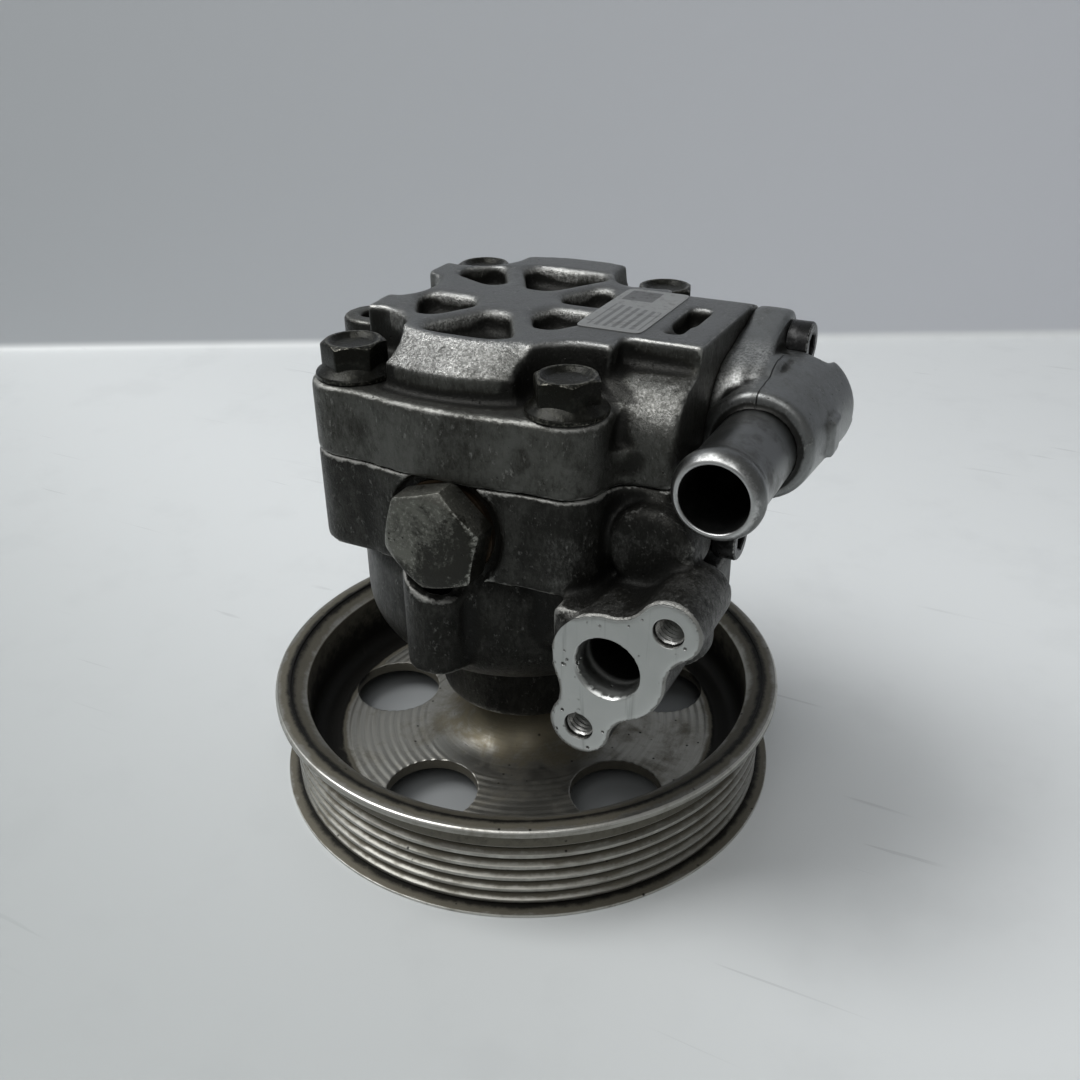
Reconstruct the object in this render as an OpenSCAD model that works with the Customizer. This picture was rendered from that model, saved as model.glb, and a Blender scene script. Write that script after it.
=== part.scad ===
// Power steering pump: a vane pump with a dished belt pulley, standing on the pulley's lower edge.
// The drive shaft turns about the Z axis, and the valve plug, outlet and suction tube point to -Y.

/* [Pulley] */
// Diameter over the upper belt flange
pulley_d = 138; // [134:0.5:150]
// Height of the pulley
pulley_h = 27.5; // [27:0.1:30]
// Number of belt grooves
groove_count = 5; // [4:1:6]
// Distance between belt grooves
groove_pitch = 3.56; // [3.2:0.01:3.6]
// Depth of a belt groove
groove_depth = 2.6; // [1.8:0.1:3]
// Height that the belt flange stands above the ribs
flange_rise = 4; // [3:0.1:5]
// Wall under the belt grooves
rim_t = 1.8; // [1.5:0.1:4]
// Thickness of the pulley's web
web_t = 3; // [2:0.1:4]
// Height of the web's underside
web_z = 5.8; // [4:0.1:8]
// Number of holes in the web
hole_count = 5; // [3:1:6]
// Diameter of a web hole
hole_d = 24; // [14:0.5:25]
// Radius of the circle of web holes
hole_ring_r = 41; // [40:0.5:43]
// Radius of the hub's neck
hub_r = 13.5; // [12:0.1:14]
// Radius of the flare from the web to the hub's neck
hub_flare_r = 13; // [9:0.5:13.5]

/* [Housing] */
// Height of the nose's end above the floor
nose_z = 24.3; // [24:0.1:30]
// Radius of the nose
nose_r = 23.2; // [22.8:0.1:26]
// Height of the straight part of the nose
nose_h = 18.7; // [18:0.1:24]
// Radius of the round body above the nose
bowl_r = 41; // [39:0.5:42]
// Height of the round body
bowl_h = 37; // [34:0.5:45]
// Height of the bolted block
block_h = 22.7; // [22:0.1:28]
// Radius of the front right and back left corners round the bolts
corner_r = 9; // [9:0.1:10]
// Radius of the front left and back right corners round the bolts
wide_corner_r = 10; // [9.5:0.1:11]
// Radius of the bow of the front and back walls
wall_bow_r = 100; // [90:1:140]
// Distance from the shaft axis to the middle of the bowed walls
wall_y = 46.3; // [45.5:0.1:48]

/* [Cover] */
// Height of the cover's flange
flange_h = 16.5; // [16:0.1:20]
// Height of the raised top above the bolt seats
top_h = 10.8; // [10:0.1:13]
// Radius of the raised top
top_r = 40.5; // [39:0.5:42]
// Width of the facet along the front of the raised top
facet_w = 9.2; // [6:0.1:9.5]
// Height of the facet along the front of the raised top
facet_h = 5.4; // [3:0.1:6]
// Radius of the clearance round a bolt head at its seat
bolt_clear_r = 11; // [10:0.1:12]
// Draft of the clearance round a bolt head
bolt_clear_draft = 2; // [1:0.1:2.5]
// Depth of the pockets in the top
pocket_depth = 6; // [3:0.1:7]
// Radius of the solid middle between the pockets
pocket_hub_r = 10.5; // [9:0.1:12]
// Width of the ribs between the pockets
pocket_rib = 5; // [4:0.1:7]
// Distance from the shaft axis to the face for the elbow
side_x = 51; // [50:0.1:53]
// Radius of the suction boss
barrel_r = 13; // [12.5:0.1:13.5]

/* [Cover bolts] */
// Thread diameter of the cover bolts
bolt_d = 8; // [6:0.5:8.5]
// Width across the flats of the bolt heads
bolt_af = 13; // [11:0.5:14]
// Diameter of the bolt's own flange
bolt_flange_d = 17.8; // [16:0.1:18]
// Height of the bolt head with its flange
bolt_head_h = 8; // [6:0.1:9]
// Length of thread in the housing
bolt_grip = 16; // [12:0.5:18]
// Distance of the front left bolt to the left of the shaft
bolt_left_x = 23.5; // [22:0.1:25]
// Distance of the front left bolt in front of the shaft
bolt_left_y = 34.5; // [34:0.1:36]
// Distance of the front right bolt to the right of the shaft
bolt_right_x = 29.3; // [28:0.1:31]
// Distance of the front right bolt in front of the shaft
bolt_right_y = 35.2; // [34.5:0.1:36]

/* [Mounting points] */
// Diameter of the mounting boss's through hole
mount_hole_d = 8.6; // [6.5:0.1:9]
// Tapping diameter of the ear's threaded hole
ear_tap_d = 6.8; // [5:0.1:7]
// Radius of the mounting boss and ear
mount_boss_r = 7.8; // [7:0.1:9]
// Sideways place of the mounting boss
boss_x = -2; // [-5:0.5:2]
// Distance of the mounting boss in front of the shaft
boss_y = 40; // [38:0.5:41]
// Distance of the ear to the left of the shaft
ear_x = 36.5; // [36:0.1:39]
// Distance of the ear in front of the shaft
ear_y = 7; // [5:0.5:12]
// Height of the ear
ear_h = 15; // [10:0.5:18]

/* [Outlet] */
// Sideways place of the outlet
outlet_x = 45.9; // [44:0.1:48]
// Depth of the outlet below the joint of housing and cover
outlet_drop = 32.8; // [30:0.1:36]
// Distance of the outlet's face in front of the shaft
outlet_y = 51; // [48:0.1:54]
// Diameter of the outlet's bore
outlet_d = 14; // [12:0.1:16]
// Radius of the outlet's round lobe
outlet_lobe_r = 13; // [12:0.1:14]
// Radius of the lobes round the outlet's threaded holes
outlet_ear_r = 7; // [6.5:0.1:8]
// Radius of the fillets between the lobes
outlet_fillet_r = 8; // [6:0.5:12]
// Tapping diameter of the outlet's threaded holes
outlet_tap_d = 6.8; // [5:0.1:7]

/* [Suction elbow] */
// Outside diameter of the suction tube
tube_d = 18; // [16:0.1:19]
// Wall of the suction tube
tube_wall = 1.7; // [1.2:0.1:2.5]
// Length of the suction tube in front of the collar
tube_l = 28; // [22:0.5:32]
// Height of the bead at the tube's end
bead_h = 0.85; // [0.4:0.05:1.2]
// Distance of the tube's axis from the cover's side face
tube_out = 12; // [11:0.1:14]
// Height of the tube's axis above the joint of housing and cover
tube_rise = 5.3; // [4.5:0.1:7]
// Radius of the elbow's body at the collar
collar_r = 12.4; // [11:0.1:13]
// Radius of the elbow's body at its closed end
elbow_r = 14.2; // [13.5:0.1:14.5]
// Thickness of the elbow's flange
elbow_flange_t = 8; // [7:0.1:9]
// Thread diameter of the elbow's screws
screw_d = 6; // [5:0.5:6]

/* [Valve] */
// Sideways place of the valve bore
valve_x = 4.5; // [3:0.1:6]
// Depth of the valve bore below the joint of housing and cover
valve_drop = 11.8; // [11.6:0.1:12.5]
// Diameter of the valve spool's bore
valve_d = 13; // [10:0.1:13]
// Width across the flats of the valve plug
plug_af = 22; // [19:0.5:23]
// Length of the plug's hex
plug_hex_l = 7.5; // [5:0.1:9]
// Thread diameter of the valve plug
plug_d = 18; // [16:0.5:18]
// Travel of the valve spool
spool_travel = 4; // [2:0.1:4.5]

/* [Shaft and bearing] */
// Diameter of the drive shaft
shaft_d = 17; // [15:0.1:17]
// Outside diameter of the ball bearing
bearing_d = 40; // [38:0.1:40]
// Width of the ball bearing
bearing_w = 12; // [10:0.1:12]
// Diameter of the bearing's balls
ball_d = 6.7; // [6:0.1:6.9]
// Number of balls in the bearing
ball_count = 8; // [6:1:9]

/* [Rotor group] */
// Outside radius of the cam ring
cam_r = 29.6; // [29:0.1:30]
// Thickness of the cam ring
cam_t = 12; // [10:0.1:12]
// Thickness of the pressure plate
plate_t = 5; // [4:0.1:6]
// Radius of the rotor
rotor_r = 21; // [20:0.1:21.5]
// Throw of the cam ring's two lobes
cam_throw = 2.2; // [1.5:0.1:2.5]
// Number of vanes
vane_count = 10; // [8:1:12]
// Thickness of a vane
vane_t = 1.5; // [1.2:0.1:2]

/* [Label] */
// Width of the bare label
label_w = 15.6; // [12:0.1:16]
// Length of the bare label
label_l = 32; // [25:0.5:33]

/* [Hidden] */
$fn = 72;

// Clearances: running fit, seated fit, and free space round a moving piece
run_gap = 0.04;
seat_gap = 0.02;
free_gap = 0.3;
// Overshoot of a cut past the face it opens
over = 1;
// Small step where a straight edge meets a round one, so that the two cross instead of only touching
blend = 0.01;

// Heights of the housing's and cover's levels
nose_top_z = nose_z + nose_h;
block_z = nose_top_z + bowl_h;
part_z = block_z + block_h;
seat_z = part_z + flange_h;
top_z = seat_z + top_h;

// Pulley levels and radii
pulley_r = pulley_d / 2;
rib_r = pulley_r - flange_rise;
root_r = rib_r - groove_depth;
rim_in_r = root_r - rim_t;
first_rib_z = 1.4;
rib_land = 1;
rib_slope = (groove_pitch - rib_land) * 0.4;
belt_flange_t = 1.8;
lower_flange_t = 0.8;
lower_flange_r = rib_r + 3.3;
neck_drop = 3.8;
land_top_z = pulley_h - neck_drop;
edge_break = 0.5;
lip_r = rim_in_r + 4.3;
lip_drop = 2.5;
web_fillet_r = 4;
hub_foot = 3;
first_hole_angle = -100.6;
web_top_z = web_z + web_t;
hub_gap = 1.8;
hub_top_z = nose_z - hub_gap;

// Shaft line, from the pulley up
shaft_r = shaft_d / 2;
shaft_end_z = 0.5;
shaft_tap_d = 6.8;
shaft_tap_l = 22;
bearing_r = bearing_d / 2;
circlip_t = 1.75;
circlip_w = 3.4;
circlip_bite = 1;
circlip_z = nose_z + 2.3;
bearing_z = circlip_z + circlip_t + seat_gap;
bearing_top_z = bearing_z + bearing_w;
race_t = (bearing_r - shaft_r) * 0.31;
ball_ring_r = (bearing_r + shaft_r) / 2;
seal_r = 15;
seal_h = 7;
seal_z = bearing_top_z + 4;
seal_lip_t = 1.6;
shoulder_r = bearing_r - race_t;
bush_t = 1.7;
bush_l = 15;
bush_r = shaft_r + bush_t;

// Rotor stack between the housing's recess and the roof of the cover's cavity
recess_depth = plate_t / 2;
recess_z = part_z - recess_depth;
plate_top_z = recess_z + plate_t;
roof_z = plate_top_z + cam_t;
cavity_r = cam_r + 0.2;
bush_top_z = recess_z - 0.5;
rotor_h = cam_t - 2 * run_gap;
vane_tip_r = rotor_r + 0.35;
vane_root_r = rotor_r - 7.8;
slot_root_r = vane_root_r - 0.6;
cam_bore_r = vane_tip_r + free_gap;
spline_r = shaft_r - 0.1;
spline_root_r = shaft_r - 1.1;
spline_teeth = 12;
spline_tooth_w = 2;
pin_r = 2;
pin_ring_r = (cam_r + cam_bore_r) / 2;
pin_angle = 20;
pin_sink = 4;
clip_t = 1;
clip_groove_r = spline_root_r - 0.9;
shaft_top_z = roof_z + 3.2;
shaft_well_r = shaft_r + 2.5;
shaft_well_depth = 4;

// Seal rings and their grooves
cover_ring_r = cavity_r + 4.6;
cover_ring_section = 1;
plate_ring_r = 15;
plate_ring_section = 0.95;

bowl_taper = 4;
bowl_edge_r = 15;

// Bolt places: the back pair is the front pair turned half a turn about the shaft
bolt_places = [[-bolt_left_x, -bolt_left_y], [bolt_right_x, -bolt_right_y],
    [bolt_left_x, bolt_left_y], [-bolt_right_x, bolt_right_y]];
bolt_corners = [wide_corner_r, corner_r, wide_corner_r, corner_r];
bolt_turns = [32, 4, 49, 18];
bolt_hole_r = bolt_d / 2 + 0.5;
bolt_thread_gap = 0.05;

// Valve line, from the plug inwards
valve_z = part_z - valve_drop;
spot_depth = 2.8;
spot_r = plug_af / 2 / cos(30) + 1.3;
spot_y = -(wall_y - spot_depth);
washer_t = 1.5;
plug_hex_y = spot_y - washer_t;
plug_front_y = plug_hex_y - plug_hex_l;
plug_shank_l = 13;
plug_end_y = spot_y + plug_shank_l;
plug_turn = 17;
plug_clear_r = spot_r + 4.4;
boss_z = nose_top_z + 9;
valve_r = valve_d / 2;
valve_end_y = -(bush_r + 2.3);
spool_y = plug_end_y + free_gap;
spool_l = 11;
spool_cup_r = valve_r - 2;
spool_cup_depth = 6;
spring_wire = 1.1;
spring_turns = 5;
spring_r = spool_cup_r - spring_wire / 2 - free_gap;
spring_y = spool_y + spool_l - spool_cup_depth + free_gap;

// Outlet arm
outlet_z = part_z - outlet_drop;
outlet_at = [outlet_x, outlet_z];
upper_ear = outlet_at + [13.2, 12.6];
lower_ear = outlet_at + [-6.4, -17];
outlet_bore_l = 24;
outlet_cone_l = 3;
outlet_cone_w = 1;
outlet_tap_l = 16;
upper_ear_l = 20;
lower_ear_l = 17;
arm_back_y = -8;
arm_web_drop = 10;

// Side of housing and cover that carries the valve boss and the suction port
side_front_y = -30;
side_back_y = 24;
side_corner_r = 2.5;
side_fillet_r = 6;
round_boss_r = 10;
round_boss_x = 48.3;
round_boss_z = part_z - 12.2;
round_boss_l = 6;
round_boss_edge = 1.5;

// Cover's side boss and top
ledge_h = 6;
ledge_z = top_z - ledge_h;
barrel_z = part_z + 8.3;
barrel_y = side_front_y + barrel_r;
side_top_front_y = -16;
side_top_back_y = 19.5;
side_pocket = [5.5, 13, 5];
side_pocket_at = [39.2, -3];
side_start_x = 22;
side_tail = [4, 7.5, 2];
ear_tap_l = 12;
ear_bite = [-ear_x - 1.5, 8.3 - ear_y];
ear_bite_r = 12.5;
bolt_bite = [-2.5, 5];
top_inset = 3.5;

// Ribs on both sides of each pocket in the top, as angles, and the pocket's reach from the shaft axis
pockets = [[0, 60, 23.5], [60, 120, 30], [120, 154, 32], [180, 240, 24.5], [240, 300, 29], [300, 360, 23.5]];
pocket_tip_r = 2;
pocket_end_r = 3.4;

// Suction elbow
tube_r = tube_d / 2;
tube_x = side_x + tube_out;
tube_z = part_z + tube_rise;
collar_y = -12;
collar_edge = 1;
elbow_port_y = 5;
port_r = 6;
port_z = part_z + port_r + 0.9;
elbow_end_y = 20;
elbow_end_edge = 2;
elbow_plate_r = 16;
upper_lug_r = 7.5;
lower_lug_r = 6.2;
upper_lug = [20.8, tube_z + 13.5];
lower_lug = [-14.5, block_z + over + lower_lug_r + 0.1];
upper_lug_l = elbow_flange_t + 1;
lower_lug_l = elbow_flange_t - 2;
elbow_tab = [6.5, 8.5];
elbow_tab_y = -1;
screw_head_r = screw_d * 0.87;
screw_head_h = screw_d * 0.87;
screw_grip = 10;
elbow_ring_r = port_r + 2.6;
elbow_ring_section = 1;
bead_l = 5;

// Label
label_t = 0.2;
label_at = [20.6, -13.4];

// Points of a circle's arc in a profile
function arc(centre, r, from, to, steps = 10) =
    [for (i = [0:steps]) let (a = from + (to - from) * i / steps) centre + r * [cos(a), sin(a)]];

// Moves a shape so that its own Z axis points along Y
module on_y(x, y, z) {
    translate([x, y, z]) rotate([-90, 0, 0]) children();
}

// Moves a shape so that its own Z axis points along X
module on_x(x, y, z) {
    translate([x, y, z]) rotate([0, 90, 0]) children();
}

// Extrudes an outline drawn in X and Z from the plane y towards the back
module along_y(y, l) {
    translate([0, y + l, 0]) rotate([90, 0, 0]) linear_extrude(l) children();
}

// Extrudes an outline drawn in Y and Z from the plane x to the right
module along_x(x, l) {
    translate([x, 0, 0]) rotate([90, 0, 90]) linear_extrude(l) children();
}

// Two round ends of different radii joined by their outer tangents
module tangent_bar(a, ra, b, rb) {
    run = norm(b - a);
    turn = atan2(b[1] - a[1], b[0] - a[0]);
    lean = acos((ra - rb) / run);
    up = [cos(turn + lean), sin(turn + lean)];
    down = [cos(turn - lean), sin(turn - lean)];
    translate(a) circle(ra);
    translate(b) circle(rb);
    ia = ra - blend;
    ib = rb - blend;
    polygon([a + ia * up, a + ia * down, b + ib * down, b + ib * up]);
}

// Two round lobes joined by a waist whose fillets touch both lobes
module waisted_lobes(a, ra, b, rb, fillet) {
    run = norm(b - a);
    turn = atan2(b[1] - a[1], b[0] - a[0]);
    reach = ra + fillet - blend;
    open = acos((reach * reach + run * run - pow(rb + fillet - blend, 2)) / (2 * reach * run));
    left = a + reach * [cos(turn + open), sin(turn + open)];
    right = a + reach * [cos(turn - open), sin(turn - open)];
    translate(a) circle(ra);
    translate(b) circle(rb);
    difference() {
        polygon([a, right, b, left]);
        translate(left) circle(fillet);
        translate(right) circle(fillet);
    }
}

// Outline with a round corner about each of the given places
module rounded_outline(places, radii) {
    last = len(places) - 1;
    for (i = [0:last]) let (n = i == last ? 0 : i + 1) tangent_bar(places[i], radii[i], places[n], radii[n]);
    polygon(places);
}

// Ring of round section about the Z axis
module seal_ring(r, section) {
    rotate_extrude() translate([r, 0]) circle(section);
}

// Flat ring about the Z axis
module flat_ring(outer, inner, h) {
    difference() {
        cylinder(r = outer, h = h);
        translate([0, 0, -over]) cylinder(r = inner, h = h + 2 * over);
    }
}

// Section of the pulley: hub, web, grooved rim, and back along the web's fillets
function pulley_profile() = concat(
    [[shaft_r + seat_gap, shaft_end_z], [hub_r, shaft_end_z], [hub_r + hub_foot, web_z], [rim_in_r, web_z],
        [rim_in_r, 0], [lower_flange_r, 0], [lower_flange_r, lower_flange_t]],
    [for (i = [0:groove_count])
        let (z = first_rib_z + i * groove_pitch, foot = max(z - rib_slope, lower_flange_t))
        each concat([[rib_r - groove_depth * (z - foot) / rib_slope, foot], [rib_r, z]],
            i == groove_count ? [[rib_r, land_top_z]] :
                [[rib_r, z + rib_land], [root_r, z + rib_land + rib_slope]])],
    [[pulley_r, pulley_h - belt_flange_t], [pulley_r, pulley_h - edge_break],
        [pulley_r - edge_break, pulley_h], [lip_r, pulley_h], [lip_r, pulley_h - edge_break],
        [rim_in_r, pulley_h - lip_drop]],
    arc([rim_in_r - web_fillet_r, web_top_z + web_fillet_r], web_fillet_r, 0, -90, 6),
    arc([hub_r + hub_flare_r, web_top_z + hub_flare_r], hub_flare_r, 270, 180),
    [[hub_r, hub_top_z], [shaft_r + seat_gap, hub_top_z]]);

// Square groove below the Z plane for a ring of round section
module ring_groove(r, section) {
    translate([0, 0, -2 * section]) flat_ring(r + section, r - section, 2 * section + over);
}

// One-piece steel pulley: grooved rim, dished web with holes and flared hub
module pulley() {
    color("#8f8a80") difference() {
        rotate_extrude() polygon(pulley_profile());
        for (i = [0:hole_count - 1]) rotate(first_hole_angle + i * 360 / hole_count)
            translate([hole_ring_r, 0, web_z - over]) cylinder(d = hole_d, h = web_t + 2 * over);
    }
}

// Splined section that drives the rotor, widened by a gap for the rotor's bore
module spline(gap) {
    circle(spline_root_r + gap);
    intersection() {
        circle(spline_r + gap);
        for (i = [0:spline_teeth / 2 - 1]) rotate(i * 360 / spline_teeth)
            square([3 * shaft_r, spline_tooth_w + 2 * gap], center = true);
    }
}

// Drive shaft: plain journal, splined top with a clip groove, threaded lower end
module drive_shaft() {
    color("#9a978f") difference() {
        union() {
            translate([0, 0, shaft_end_z]) cylinder(r = shaft_r, h = plate_top_z - 1 - shaft_end_z);
            translate([0, 0, plate_top_z - 1]) linear_extrude(shaft_top_z - plate_top_z + 1) spline(0);
        }
        translate([0, 0, shaft_end_z - over]) cylinder(d = shaft_tap_d, h = shaft_tap_l + over);
        translate([0, 0, roof_z]) flat_ring(shaft_r + over, clip_groove_r, clip_t + 2 * run_gap);
    }
}

// Outline of the bolted joint: four round corners with bowed front and back walls
module joint_outline() {
    rounded_outline(bolt_places, bolt_corners);
    for (half = [0, 180]) rotate(half) intersection() {
        translate([(bolt_right_x - bolt_left_x) / 2, wall_bow_r - wall_y]) circle(wall_bow_r, $fn = 200);
        translate([-bolt_left_x, -wall_y - over]) square([bolt_left_x + bolt_right_x, wall_y]);
    }
}

// Outline of the side that widens the joint to the right
module side_outline(reach) {
    tall = side_back_y - side_front_y;
    translate([0, side_front_y]) square([reach - side_corner_r, tall]);
    translate([0, side_front_y + side_corner_r]) square([reach, tall - 2 * side_corner_r]);
    for (y = [side_front_y + side_corner_r, side_back_y - side_corner_r])
        translate([reach - side_corner_r, y]) circle(side_corner_r);
}

// Fillet between the front right corner and the side's front wall
module side_fillet() {
    reach = corner_r + side_fillet_r - blend;
    centre_y = side_front_y - side_fillet_r + blend;
    centre_x = bolt_right_x + sqrt(reach * reach - pow(centre_y + bolt_right_y, 2));
    difference() {
        polygon([bolt_places[1], [centre_x, centre_y], [centre_x, side_front_y + over],
            [bolt_right_x, side_front_y + over]]);
        translate([centre_x, centre_y]) circle(side_fillet_r);
    }
}

// Three-lobed outline of the outlet's machined face
module outlet_outline() {
    waisted_lobes(outlet_at, outlet_lobe_r, upper_ear, outlet_ear_r, outlet_fillet_r);
    waisted_lobes(outlet_at, outlet_lobe_r, lower_ear, outlet_ear_r, outlet_fillet_r);
}

// Arm that carries the outlet out of the round body
module outlet_arm() {
    along_y(-outlet_y, lower_ear_l) outlet_outline();
    along_y(-outlet_y, upper_ear_l)
        waisted_lobes(outlet_at, outlet_lobe_r, upper_ear, outlet_ear_r, outlet_fillet_r);
    along_y(-outlet_y, outlet_y + arm_back_y) {
        translate(outlet_at) circle(outlet_lobe_r);
        translate([outlet_x - outlet_lobe_r, outlet_z])
            square([2 * outlet_lobe_r, block_z - outlet_z + over]);
    }
    translate([0, 0, outlet_z - arm_web_drop]) linear_extrude(block_z - outlet_z + arm_web_drop) tangent_bar(
        [0, 0], bowl_r - 6, [outlet_x, arm_back_y - outlet_lobe_r], outlet_lobe_r);
}

// Vertical mounting boss in front of the round body, hollowed above to clear the valve plug
module mounting_boss() {
    difference() {
        translate([boss_x, -boss_y, boss_z]) union() {
            cylinder(r = mount_boss_r, h = block_z - boss_z);
            translate([-mount_boss_r, 0, 0]) cube([2 * mount_boss_r, mount_boss_r, block_z - boss_z]);
        }
        on_y(valve_x, -boss_y - 2 * mount_boss_r, valve_z) cylinder(r = plug_clear_r, h = 4 * mount_boss_r);
    }
}

// Bores of the shaft line, from the nose up to the joint
function shaft_line_profile() = [[0, nose_z - over], [bearing_r + seat_gap, nose_z - over],
    [bearing_r + seat_gap, bearing_top_z], [shoulder_r, bearing_top_z], [shoulder_r, seal_z],
    [seal_r + seat_gap, seal_z], [seal_r + seat_gap, seal_z + seal_h], [shaft_r + 2.5, seal_z + seal_h],
    [shaft_r + 2.5, seal_z + seal_h + 2], [shaft_r + 0.8, seal_z + seal_h + 2],
    [shaft_r + 0.8, bush_top_z - bush_l], [bush_r + seat_gap, bush_top_z - bush_l],
    [bush_r + seat_gap, recess_z], [cavity_r, recess_z], [cavity_r, part_z + over], [0, part_z + over]];

// Front housing, one casting: nose, round body, bolted block, outlet arm and bosses
module front_housing() {
    color("#5b5a55") difference() {
        union() {
            rotate_extrude() polygon(concat([[0, nose_z], [nose_r - 1, nose_z], [nose_r, nose_z + 1]],
                [[nose_r, nose_top_z - 2]],
                arc([bowl_r - bowl_edge_r, nose_top_z + bowl_edge_r], bowl_edge_r, -90, 0),
                [[bowl_r, block_z - 2 * bowl_taper], [bowl_r - bowl_taper, block_z + over],
                    [0, block_z + over]]));
            translate([0, 0, block_z]) linear_extrude(block_h) {
                joint_outline();
                side_outline(side_x);
                side_fillet();
            }
            mounting_boss();
            outlet_arm();
            on_y(round_boss_x, side_front_y - round_boss_l, round_boss_z) {
                cylinder(r1 = round_boss_r - round_boss_edge, r2 = round_boss_r, h = round_boss_edge);
                translate([0, 0, round_boss_edge]) cylinder(r = round_boss_r, h = 2 * round_boss_l);
            }
        }
        rotate_extrude() polygon(shaft_line_profile());
        translate([0, 0, circlip_z - run_gap])
            cylinder(r = bearing_r + circlip_bite + 0.1, h = circlip_t + 2 * run_gap);
        for (at = bolt_places) translate([at[0], at[1], part_z - bolt_grip - 2])
            cylinder(r = bolt_d / 2 + bolt_thread_gap, h = bolt_grip + 2 + over);
        translate([0, 0, part_z]) ring_groove(cover_ring_r, cover_ring_section);
        translate([0, 0, recess_z]) ring_groove(plate_ring_r, plate_ring_section);
        for (a = [pin_angle, pin_angle + 180]) rotate(a) translate([pin_ring_r, 0, recess_z - pin_sink])
            cylinder(r = pin_r + seat_gap, h = pin_sink + over);
        on_y(valve_x, -outlet_y, valve_z) cylinder(r = spot_r, h = outlet_y + spot_y);
        on_y(valve_x, spot_y - over, valve_z)
            cylinder(r = plug_d / 2 + bolt_thread_gap, h = plug_shank_l + over);
        on_y(valve_x, spot_y, valve_z) cylinder(r = valve_r, h = valve_end_y - spot_y);
        translate([boss_x, -boss_y, nose_top_z]) cylinder(d = mount_hole_d, h = block_z - nose_top_z);
        on_y(outlet_x, -outlet_y, outlet_z) {
            cylinder(r1 = outlet_d / 2 + outlet_cone_w, r2 = outlet_d / 2, h = outlet_cone_l);
            cylinder(d = outlet_d, h = outlet_bore_l);
        }
        for (at = [upper_ear, lower_ear]) on_y(at[0], -outlet_y - over, at[1])
            cylinder(d = outlet_tap_d, h = outlet_tap_l + over);
        on_x(side_x - screw_grip - 2, lower_lug[0], lower_lug[1])
            cylinder(r = screw_d / 2 + bolt_thread_gap, h = screw_grip + 2 + over);
    }
}

// Circlip that holds the bearing in the nose
module bearing_circlip() {
    color("#4a4844") translate([0, 0, circlip_z]) rotate(-75) rotate_extrude(angle = 330)
        translate([bearing_r + circlip_bite - circlip_w, 0]) square([circlip_w, circlip_t]);
}

// Outer bearing race with its ball track
module bearing_outer_race() {
    color("#b9bbbd") translate([0, 0, bearing_z]) difference() {
        flat_ring(bearing_r, bearing_r - race_t, bearing_w);
        translate([0, 0, bearing_w / 2]) seal_ring(ball_ring_r, ball_d / 2 + run_gap);
    }
}

// Inner bearing race with its ball track
module bearing_inner_race() {
    color("#b9bbbd") translate([0, 0, bearing_z]) difference() {
        flat_ring(shaft_r + race_t, shaft_r + seat_gap, bearing_w);
        translate([0, 0, bearing_w / 2]) seal_ring(ball_ring_r, ball_d / 2 + run_gap);
    }
}

// Places a ball at each pocket of the cage
module ball_set(r) {
    for (i = [0:ball_count - 1]) rotate(i * 360 / ball_count)
        translate([ball_ring_r, 0, bearing_z + bearing_w / 2]) sphere(r);
}

module bearing_balls() {
    color("#d0d2d4") ball_set(ball_d / 2);
}

// Cage that spaces the balls
module bearing_cage() {
    wall = 2.2;
    tall = ball_d + 1.8;
    color("#a8894f") difference() {
        translate([0, 0, bearing_z + bearing_w / 2 - tall / 2])
            flat_ring(ball_ring_r + wall / 2, ball_ring_r - wall / 2, tall);
        ball_set(ball_d / 2 + run_gap);
    }
}

// Lip seal: stiff case with a lip that runs on the shaft
module shaft_seal() {
    color("#2b2b2b") translate([0, 0, seal_z]) rotate_extrude() polygon([[seal_r, 0], [seal_r, seal_h],
        [shaft_r + 3, seal_h], [shaft_r + run_gap, seal_h - 2.4], [shaft_r + run_gap, seal_h - 3],
        [shaft_r + 2, seal_h - seal_lip_t], [seal_r - seal_lip_t, seal_h - seal_lip_t],
        [seal_r - seal_lip_t, 0]]);
}

// Plain bush that carries the shaft below the rotor
module shaft_bush() {
    color("#9c7b4a") translate([0, 0, bush_top_z - bush_l]) flat_ring(bush_r, shaft_r + run_gap, bush_l);
}

module plate_seal() {
    color("#222222") translate([0, 0, recess_z - plate_ring_section])
        seal_ring(plate_ring_r, plate_ring_section - seat_gap);
}

// Pressure plate with two pressure ports through it
module pressure_plate() {
    color("#a4a29b") translate([0, 0, recess_z]) difference() {
        flat_ring(cam_r, shaft_r + 0.6, plate_t);
        for (a = [pin_angle, pin_angle + 180]) rotate(a) {
            translate([pin_ring_r, 0, -over]) cylinder(r = pin_r + seat_gap, h = plate_t + 2 * over);
            translate([0, 0, -over]) rotate_extrude(angle = 50, start = 20)
                translate([rotor_r - 3.4, 0]) square([2.8, plate_t + 2 * over]);
        }
    }
}

// Pins that keep plate and cam ring from turning
module dowel_pins() {
    color("#b5b5b5") for (a = [pin_angle, pin_angle + 180]) rotate(a)
        translate([pin_ring_r, 0, recess_z - pin_sink + seat_gap])
            cylinder(r = pin_r, h = plate_t + cam_t + 2 * (pin_sink - seat_gap));
}

// Cam ring: its bore has two lobes opposite each other
module cam_ring() {
    color("#8d8b86") translate([0, 0, plate_top_z]) difference() {
        cylinder(r = cam_r, h = cam_t);
        translate([0, 0, -over]) linear_extrude(cam_t + 2 * over) rotate(pin_angle + 90)
            tangent_bar([-cam_throw, 0], cam_bore_r, [cam_throw, 0], cam_bore_r);
        for (a = [pin_angle, pin_angle + 180]) rotate(a) translate([pin_ring_r, 0, -over])
            cylinder(r = pin_r + seat_gap, h = cam_t + 2 * over);
    }
}

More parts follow.
